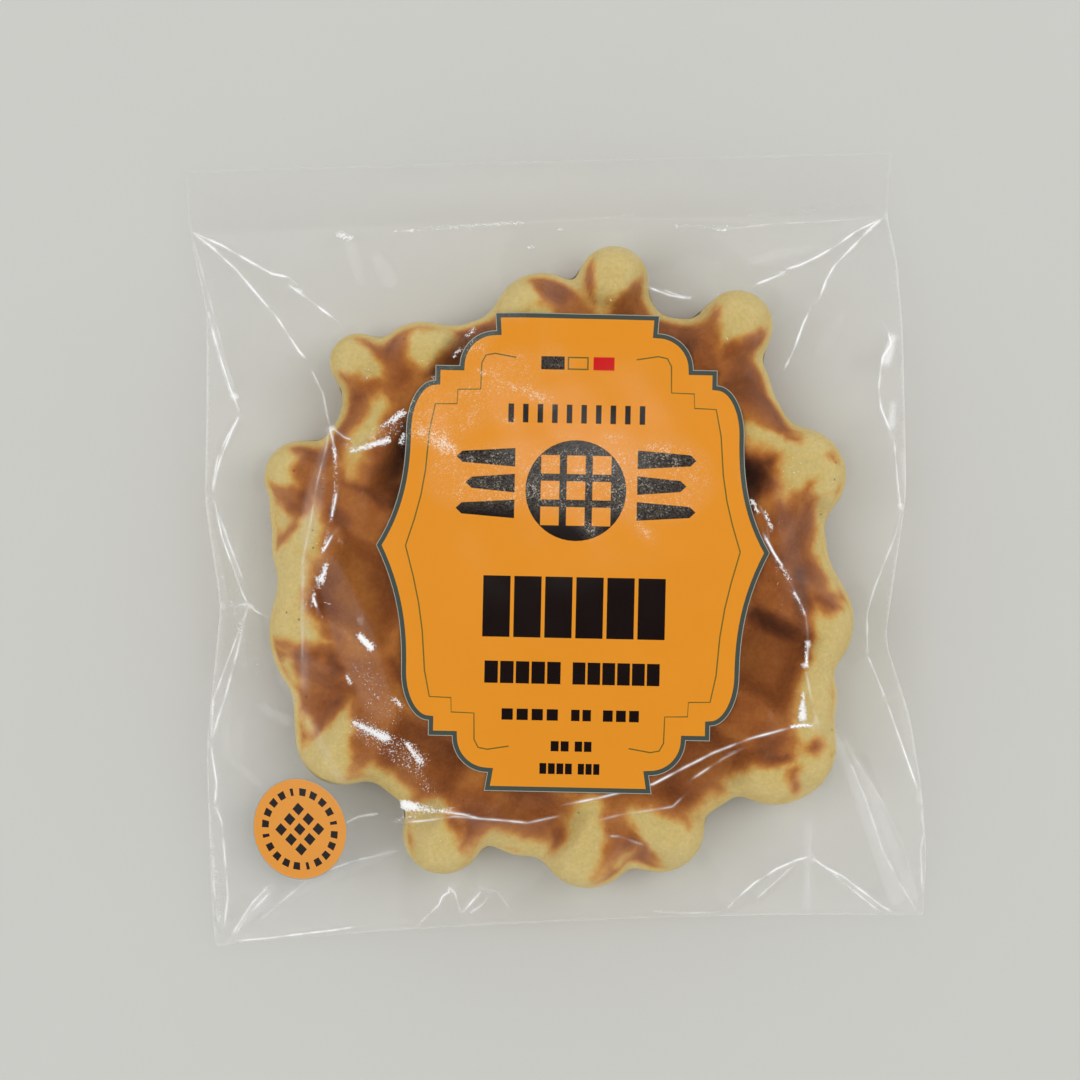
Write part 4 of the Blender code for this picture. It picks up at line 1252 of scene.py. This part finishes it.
def inside(outline, x, y):
    """Whether points lie inside a closed outline."""
    corners = np.array(outline)
    ends = np.roll(corners, -1, axis=0)
    found = np.zeros(x.shape, bool)
    for (from_x, from_y), (to_x, to_y) in zip(corners, ends):
        if from_y == to_y:
            continue
        crosses = (from_y > y) != (to_y > y)
        found ^= crosses & (x < from_x + (to_x - from_x) * (y - from_y) / (to_y - from_y))
    return found


def block_row(left, right, foot, height, blocks, gap_share):
    """Equal blocks along a row, with gaps that are a share of the pitch."""
    pitch = (right - left) / (blocks - gap_share)
    found = []
    for number in range(blocks):
        start = left + number * pitch
        found.append(rectangle(start, start + pitch * (1.0 - gap_share), foot, foot + height))
    return found


def label_prints():
    """The label's fields from the lowest layer up: each an outline and the colour that fills it."""
    outline = label_outline()
    prints = [(inset(outline, BORDER_LINE), "border"), (inset(outline, BORDER_WIDTH), "orange")]
    for sign_x in (1.0, -1.0):
        for sign_y in (1.0, -1.0):
            path = [(sign_x * x, sign_y * y) for x, y in CONTOUR]
            path = tip_raised(path, CONTOUR[-4][0], CONTOUR[-1][0])
            prints.append((ribbon(path, CONTOUR_WIDTH), "contour"))
    foot, top = RECTANGLE_ROW
    prints.append((rectangle(*BLACK_RECTANGLE, foot, top), "black"))
    prints.append((rectangle(*OPEN_RECTANGLE, foot, top), "contour"))
    left, right = OPEN_RECTANGLE
    open_inside = rectangle(left + OPEN_LINE, right - OPEN_LINE, foot + OPEN_LINE, top - OPEN_LINE)
    prints.append((open_inside, "orange"))
    prints.append((rectangle(*RED_RECTANGLE, foot, top), "red"))
    for row in BLOCK_ROWS:
        prints += [(block, "black") for block in block_row(*row)]
    prints += roundel_prints()
    return outline, prints


def roundel_prints():
    """A round waffle seen from the front, with bars that taper away on both sides."""
    centre_x, centre_y = ROUNDEL_CENTRE
    prints = [(ellipse(ROUNDEL_CENTRE, ROUNDEL_RADIUS, ROUNDEL_RADIUS, ROUNDEL_STEPS), "black")]
    half = 0.5 * ROUNDEL_POCKET
    for column in (-1, 0, 1):
        for row in (-1, 0, 1):
            x, y = centre_x + column * ROUNDEL_PITCH, centre_y + row * ROUNDEL_PITCH
            prints.append((rectangle(x - half, x + half, y - half, y + half), "orange"))
    for sign in (1.0, -1.0):
        for foot, height, end in SIDE_BARS:
            near, far = centre_x + sign * SIDE_BAR_START, centre_x + sign * end
            bar = [(near, foot), (near, foot + height)]
            bar += [(far - sign, foot + 0.8 * height), (far, foot + 0.5 * height)]
            bar.append((far - sign, foot + 0.2 * height))
            prints.append((bar, "black"))
    return prints


def badge_prints():
    """A ring of dashes round a lattice of diamonds."""
    half_x, half_y = BADGE_HALF_AXES
    outline = ellipse((0.0, 0.0), half_x, half_y, BADGE_STEPS)
    prints = [(ellipse((0.0, 0.0), half_x - BADGE_RIM, half_y - BADGE_RIM, BADGE_STEPS), "orange")]
    squash = half_x / half_y
    inner, outer = BADGE_DASH_RING
    for number in range(BADGE_DASHES):
        middle = 2.0 * math.pi * (number + 0.5) / BADGE_DASHES
        width = BADGE_DASH_SHARE if number % THIN_DASH_EVERY else THIN_DASH_SHARE
        turn = 2.0 * math.pi / BADGE_DASHES * width
        dash = []
        for angle, radius in ((-turn, inner), (-turn, outer), (turn, outer), (turn, inner)):
            dash.append((radius * math.cos(middle + angle) * squash, radius * math.sin(middle + angle)))
        prints.append((dash, "black"))
    for column in (-1, 0, 1):
        for row in (-1, 0, 1):
            x = 0.5 * (column - row) * BADGE_DIAMOND_PITCH * math.sqrt(2.0)
            y = 0.5 * (column + row) * BADGE_DIAMOND_PITCH * math.sqrt(2.0)
            diamond = [
                ((x - BADGE_DIAMOND) * squash, y), (x * squash, y + BADGE_DIAMOND),
                ((x + BADGE_DIAMOND) * squash, y), (x * squash, y - BADGE_DIAMOND),
            ]
            prints.append((diamond, "black"))
    return outline, prints


def sticker_layout(outline, prints, spacing):
    """A sticker's flat triangles, with edges along its outline and round each printed field."""
    points, edges = [], []
    for field in [outline] + [with_sides_split(field, spacing) for field, _ in prints]:
        start = len(points)
        points += field
        edges += [(start + i, start + (i + 1) % len(field)) for i in range(len(field))]
    reach = math.ceil(max(max(map(abs, point)) for point in outline) / spacing)
    x, y = np.meshgrid(np.arange(-reach, reach + 1), np.arange(-reach, reach + 1))
    x, y = spacing * x.ravel().astype(float), spacing * y.ravel().astype(float)
    corners = np.array(points)
    nearest = [np.hypot(corners[:, 0] - u, corners[:, 1] - v).min() for u, v in zip(x, y)]
    keep = inside(outline, x, y) & (np.array(nearest) > CLEAR_OF_LINES * spacing)
    points += list(zip(x[keep].tolist(), y[keep].tolist()))
    return triangulated(points, edges, outline)


def printed_fill(flat, triangles, prints, colours):
    """The number of each triangle's colour: the last printed field's that it lies in, or the stock's."""
    middle = flat[triangles].mean(axis=1)
    fill = np.zeros(len(triangles), int)
    for field, colour in prints:
        fill[inside(field, middle[:, 0], middle[:, 1])] = colours.index(colour)
    return fill


def rim_edges(triangles):
    """The edges that only one triangle has."""
    sides = np.concatenate([triangles[:, [0, 1]], triangles[:, [1, 2]], triangles[:, [2, 0]]])
    known = {tuple(side) for side in sides.tolist()}
    return sorted((start, end) for start, end in known if (end, start) not in known)


def build_sticker(name, outline, prints, painted_sheens, centre, angle_deg, film, floor, spacing, looks):
    """A thin printed sheet of this outline that follows the film, with its print as fields of faces."""
    outline = with_sides_split(outline, spacing)
    flat, triangles = sticker_layout(outline, prints, spacing)
    turn = math.radians(angle_deg)
    x = centre[0] + flat[:, 0] * math.cos(turn) - flat[:, 1] * math.sin(turn)
    y = centre[1] + flat[:, 0] * math.sin(turn) + flat[:, 1] * math.cos(turn)
    height = front_film_height(x, y, film, floor)[0] + STICKER_GAP
    below = np.stack([x, y, height], axis=-1)
    above = below + np.array([0.0, 0.0, STICKER_THICKNESS])
    total = len(flat)
    faces = (triangles + total).tolist() + triangles[:, ::-1].tolist()
    faces += [[start, end, end + total, start + total] for start, end in rim_edges(triangles)]
    made = add_object(name, np.concatenate([below, above]), faces, list(looks.values()))
    fills = np.zeros(len(faces), np.int32)
    fills[:len(triangles)] = printed_fill(flat, triangles, prints, list(looks))
    made.data.polygons.foreach_set("material_index", fills)
    made.data.update()
    # Painted sheen: where the label shows painted glitter of reflected light.
    set_values(made, "painted_sheen", np.tile(brushed(flat[:, 0], flat[:, 1], painted_sheens, PAINTED_SHEEN_SOFTNESS), 2))
    return made


# ---- Meshes and materials -----------------------------------------------------------------------


def add_object(name, points, faces, looks):
    """A mesh object from points in millimetres."""
    mesh = bpy.data.meshes.new(name)
    mesh.from_pydata((np.asarray(points) * MM).tolist(), [], faces)
    mesh.update()
    for look in looks:
        mesh.materials.append(look)
    mesh.shade_smooth()
    mesh.set_sharp_from_angle(angle=math.radians(SHARP_ANGLE_DEG))
    made = bpy.data.objects.new(name, mesh)
    bpy.context.scene.collection.objects.link(made)
    return made


def set_values(made, name, values):
    """One number at each point of a mesh, which its material reads."""
    attribute = made.data.attributes.new(name, "FLOAT", "POINT")
    attribute.data.foreach_set("value", np.asarray(values, np.float32))


class Nodes:
    """Short names for building a material's nodes."""

    def __init__(self, name):
        self.material = bpy.data.materials.new(name)
        self.material.use_nodes = True
        self.tree = self.material.node_tree
        self.tree.nodes.clear()
        self.output = self.tree.nodes.new("ShaderNodeOutputMaterial")
        self.place = self.add("TexCoord").outputs["Object"]

    def add(self, kind, inputs=None, **settings):
        node = self.tree.nodes.new("ShaderNode" + kind)
        for setting, value in settings.items():
            setattr(node, setting, value)
        for socket, value in (inputs or {}).items():
            if isinstance(value, bpy.types.NodeSocket):
                self.tree.links.new(value, node.inputs[socket])
            else:
                node.inputs[socket].default_value = value
        return node

    def math(self, operation, *values, clamp=False):
        node = self.add("Math", dict(enumerate(values)), operation=operation, use_clamp=clamp)
        return node.outputs[0]

    def swing(self, value, size):
        """A value of 0 to 1 turned into one from minus this size to plus it."""
        return self.math("MULTIPLY_ADD", value, 2.0 * size, -size)

    def read(self, name):
        """The number that set_values gave to each point under this name."""
        return self.add("Attribute", attribute_name=name).outputs["Fac"]

    def noise(self, scale, detail, roughness=0.5):
        """Cloudy noise of 0 to 1, with about this many clouds to the metre."""
        inputs = {"Vector": self.place, "Scale": scale, "Detail": detail, "Roughness": roughness}
        return self.add("TexNoise", inputs).outputs["Fac"]

    def cells(self, scale):
        """A pattern of cells, about this many to the metre."""
        return self.add("TexVoronoi", {"Vector": self.place, "Scale": scale}, feature="F1").outputs

    def number_of(self, cells):
        """A random number of 0 to 1 that each cell has to itself."""
        return self.add("SeparateColor", {"Color": cells["Color"]}).outputs[0]

    def ramp(self, value, stops):
        node = self.add("ValToRGB", {"Fac": value})
        elements = node.color_ramp.elements
        while len(elements) < len(stops):
            elements.new(0.5)
        for element, (position, colour) in zip(elements, stops):
            element.position = position
            element.color = (*colour, 1.0)
        return node.outputs["Color"]

    def mixed(self, share, first, second):
        """A colour between two colours. The sockets 6 and 7 of a Mix node are its colours."""
        node = self.add("Mix", data_type="RGBA")
        for socket, value in ((node.inputs[0], share), (node.inputs[6], first), (node.inputs[7], second)):
            if isinstance(value, bpy.types.NodeSocket):
                self.tree.links.new(value, socket)
            elif socket is node.inputs[0]:
                socket.default_value = value
            else:
                socket.default_value = (*value, 1.0)
        return node.outputs[2]

    def shown(self, shader):
        self.tree.links.new(shader, self.output.inputs["Surface"])
        return self.material


def srgb(red, green, blue):
    """A screen colour of 0 to 255 as the linear numbers that shaders take."""
    shares = (red / 255.0, green / 255.0, blue / 255.0)
    return tuple(c / 12.92 if c <= 0.04045 else ((c + 0.055) / 1.055) ** 2.4 for c in shares)


def dough_material():
    """Baked dough: pale yellow to dark brown by its browning, with freckles, pores and fine grain."""
    n = Nodes("baked_dough")
    cloud = n.swing(n.noise(160.0, 5.0, 0.6), 0.13)
    grain = n.noise(900.0, 4.0, 0.65)
    level = n.math("ADD", n.math("ADD", n.read("browning"), cloud), n.swing(grain, 0.08), clamp=True)
    colour = n.ramp(
        level,
        (
            (0.0, srgb(200, 178, 113)),
            (0.12, srgb(199, 172, 102)),
            (0.28, srgb(196, 146, 72)),
            (0.46, srgb(172, 108, 45)),
            (0.66, srgb(143, 80, 31)),
            (0.84, srgb(110, 58, 21)),
            (1.0, srgb(78, 38, 14)),
        ),
    )
    cells = n.cells(420.0)
    lucky = n.math("GREATER_THAN", n.number_of(cells), 0.72)
    spot = n.math("LESS_THAN", cells["Distance"], 0.09)
    freckle = n.math("MULTIPLY", n.math("MULTIPLY", spot, lucky), 0.65)
    colour = n.mixed(freckle, colour, srgb(96, 66, 32))
    shade = n.math("MULTIPLY_ADD", n.noise(1500.0, 3.0, 0.7), 0.5, 0.75)
    colour = n.add("VectorMath", {0: colour, "Scale": shade}, operation="SCALE").outputs[0]
    pores = n.math("MULTIPLY", n.cells(1100.0)["Distance"], 0.25)
    relief = n.math("ADD", n.math("MULTIPLY", grain, 0.7), pores)
    bump = n.add("Bump", {"Height": relief, "Strength": 0.55, "Distance": 0.0005}).outputs["Normal"]
    rough = n.math("MULTIPLY_ADD", level, -0.12, 0.68)
    shader = n.add(
        "BsdfPrincipled",
        {
            "Base Color": colour,
            "Roughness": rough,
            "Normal": bump,
            "Specular IOR Level": 0.15,
            "Subsurface Weight": 0.15,
            "Subsurface Radius": (1.0, 0.6, 0.25),
            "Subsurface Scale": 0.002,
        },
    )
    return n.shown(shader.outputs[0])


def film_material(name, mirror, roughness):
    """Clear film: what lies behind shows, it mirrors more at a slant, and painted highlights and bends go
    white.
    """
    n = Nodes(name)
    grain = n.noise(3600.0, 2.0, 0.6)
    slow = n.noise(260.0, 2.0)
    touch = n.read("touch")
    fine = n.math("MULTIPLY", grain, n.math("MULTIPLY_ADD", touch, 0.9, 0.04))
    relief = n.math("ADD", fine, n.math("MULTIPLY", slow, 1.3))
    bump = n.add("Bump", {"Height": relief, "Strength": 1.0, "Distance": 0.00006}).outputs["Normal"]
    mirroring = {"Roughness": roughness, "Normal": bump}
    facing = n.add("LayerWeight", {"Blend": 0.5}).outputs["Facing"]
    steep = n.math("MULTIPLY", n.math("POWER", facing, 5.0), 0.86)
    clear = n.add("BsdfTransparent", {"Color": (0.989, 0.988, 0.985, 1.0)})
    slant = n.add("BsdfGlossy", {"Color": (1.0, 1.0, 1.0, 1.0), **mirroring})
    pane = n.add("MixShader", {0: steep, 1: clear.outputs[0], 2: slant.outputs[0]})
    # Painted highlights: crease and edge whitening with painted highlight, painted sheen and painted glints
    # turn the film white.
    whitening_and_painted_highlights = n.math("ADD", n.math("ADD", n.read("whitening_and_highlight"), patchy_painted_film_sheen(n, slow)), painted_film_glints(n, grain))
    share = n.math("ADD", whitening_and_painted_highlights, n.math("MULTIPLY_ADD", touch, 0.006, 0.002), clamp=True)
    milk_and_painted_highlights = n.add("BsdfDiffuse", {"Color": (0.95, 0.95, 0.95, 1.0)})
    body = n.add("MixShader", {0: share, 1: pane.outputs[0], 2: milk_and_painted_highlights.outputs[0]})
    gloss = n.add("BsdfGlossy", {"Color": (mirror, mirror, mirror, 1.0), **mirroring})
    return n.shown(n.add("AddShader", {0: body.outputs[0], 1: gloss.outputs[0]}).outputs[0])


def patchy_painted_film_sheen(n, slow):
    """Painted sheen of soft reflections, hazy, which comes and goes with slow noise."""
    return n.math("MULTIPLY", n.read("painted_film_sheen"), n.math("ADD", slow, 0.5))


def painted_film_glints(n, grain):
    """Painted glints, white where the film is crumpled: solid where it is most so, and single grains round
    them.
    """
    painted_glint = n.read("painted_glint")
    speck = n.math("MULTIPLY_ADD", grain, 9.5, -7.0)
    sparkle = n.math("MULTIPLY_ADD", painted_glint, 5.4, speck, clamp=True)
    return n.math("MULTIPLY", sparkle, n.math("MULTIPLY_ADD", painted_glint, 0.7, 0.3, clamp=True))


def print_material(name, colour):
    """Printed and varnished sticker stock, with glitter painted on as a highlight where its sheen is
    painted.
    """
    n = Nodes(name)
    mottle = n.noise(120.0, 3.0)
    tone = n.mixed(mottle, tuple(0.97 * c for c in colour), tuple(min(1.0, 1.03 * c) for c in colour))
    # Painted highlight: the stock turns pale where glitter of reflected light is painted.
    tone = n.mixed(glitter(n), tone, (0.88, 0.80, 0.66))
    rough = n.math("MULTIPLY_ADD", mottle, 0.06, 0.12)
    shader = n.add("BsdfPrincipled", {"Base Color": tone, "Roughness": rough, "Specular IOR Level": 0.25})
    return n.shown(shader.outputs[0])


def glitter(n):
    """Painted highlight: faint grain over all the painted sheen, and bright flakes where there is much of
    it.
    """
    flake = n.number_of(n.cells(5200.0))
    painted_sheen = n.math("MULTIPLY", n.read("painted_sheen"), n.math("MULTIPLY_ADD", n.noise(420.0, 2.0), 1.2, 0.4))
    grain = n.math("MULTIPLY", n.math("MULTIPLY", painted_sheen, flake), 0.2)
    bright = n.math("MULTIPLY_ADD", painted_sheen, 1.5, n.math("ADD", flake, -1.5), clamp=True)
    return n.math("ADD", grain, bright, clamp=True)


def sticker_looks(part):
    """A sticker's colours by name, with its bare stock first."""
    colours = {
        "stock": srgb(160, 159, 151),
        "border": srgb(68, 77, 70),
        "orange": srgb(225, 143, 38) if part == "label" else srgb(225, 149, 58),
        "contour": srgb(106, 96, 40),
        "black": srgb(22, 12, 10),
        "red": srgb(200, 20, 24),
    }
    if part == "badge":
        colours = {name: colours[name] for name in ("stock", "orange", "black")}
    return {name: print_material(f"{part}_{name}", colour) for name, colour in colours.items()}


def floor_material():
    n = Nodes("floor")
    tone = n.mixed(n.noise(30.0, 3.0), srgb(203, 203, 199), srgb(205, 205, 201))
    shader = n.add("BsdfPrincipled", {"Base Color": tone, "Roughness": 0.9, "Specular IOR Level": 0.1})
    return n.shown(shader.outputs[0])


# ---- Stage -------------------------------------------------------------------------------------


def add_light(name, place, size, energy, mirrored):
    """A soft box turned to the pack."""
    light = bpy.data.lights.new(name, "AREA")
    light.shape = "RECTANGLE"
    light.size, light.size_y = size
    light.energy = energy
    made = bpy.data.objects.new(name, light)
    made.location = place
    made.rotation_euler = Vector(place).to_track_quat("Z", "Y").to_euler()
    made.visible_glossy = mirrored
    bpy.context.scene.collection.objects.link(made)


def build_stage():
    """The pale floor and the lights."""
    half = 0.5 * FLOOR_SIZE
    corners = np.array([(-half, -half, 0.0), (half, -half, 0.0), (half, half, 0.0), (-half, half, 0.0)])
    add_object("floor", corners, [[0, 1, 2, 3]], [floor_material()])
    for light in LIGHTS:
        add_light(*light)
    build_sky()


def build_sky():
    """A room that is brightest at the horizon."""
    world = bpy.data.worlds.new("studio")
    bpy.context.scene.world = world
    world.use_nodes = True
    tree = world.node_tree
    place = tree.nodes.new("ShaderNodeTexCoord").outputs["Generated"]
    split = tree.nodes.new("ShaderNodeSeparateXYZ")
    tree.links.new(place, split.inputs[0])
    ramp = tree.nodes.new("ShaderNodeValToRGB")
    tree.links.new(split.outputs["Z"], ramp.inputs["Fac"])
    elements = ramp.color_ramp.elements
    for position, _ in SKY[1:-1]:
        elements.new(position)
    for element, (position, level) in zip(elements, SKY):
        element.position = position
        element.color = (level, level, 0.99 * level, 1.0)
    tree.links.new(ramp.outputs["Color"], tree.nodes["Background"].inputs["Color"])
    tree.nodes["Background"].inputs["Strength"].default_value = 1.0


def add_camera():
    """Straight above the pack, turned as the pack lies in view."""
    data = bpy.data.cameras.new("camera")
    data.sensor_width = SENSOR
    data.lens = SENSOR * CAMERA_HEIGHT / VIEW_ACROSS
    data.clip_start = 0.01
    made = bpy.data.objects.new("camera", data)
    made.location = (CAMERA_OVER[0] * MM, CAMERA_OVER[1] * MM, CAMERA_HEIGHT * MM)
    made.rotation_euler = (0.0, 0.0, math.radians(CAMERA_TURN_DEG))
    bpy.context.scene.collection.objects.link(made)
    bpy.context.scene.camera = made


def as_piece(made, slot, *replaced):
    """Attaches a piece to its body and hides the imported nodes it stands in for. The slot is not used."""
    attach(made, BODY)
    if replaced:
        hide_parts(*replaced)


bpy.context.scene.view_settings.view_transform = "Standard"
add_camera()
build_stage()
as_piece(build_waffle(), "baked_dough")
film, floor = relaxed_film()
as_piece(front_film(film, floor, film_material("front_film", *FRONT_GLOSS)), "clear_film", "pouch")
as_piece(back_film(film_material("back_film", *BACK_GLOSS)), "clear_film")
label = build_sticker(
    "label_sticker", *label_prints(), PAINTED_SHEENS, LABEL_CENTRE, LABEL_TURN_DEG, film, floor, LABEL_MESH,
    sticker_looks("label"),
)
as_piece(label, "label_paper", "label")
badge = build_sticker(
    "badge_sticker", *badge_prints(), (), BADGE_CENTRE, 0.0, film, floor, BADGE_MESH, sticker_looks("badge")
)
as_piece(badge, "badge_paper", "badge")
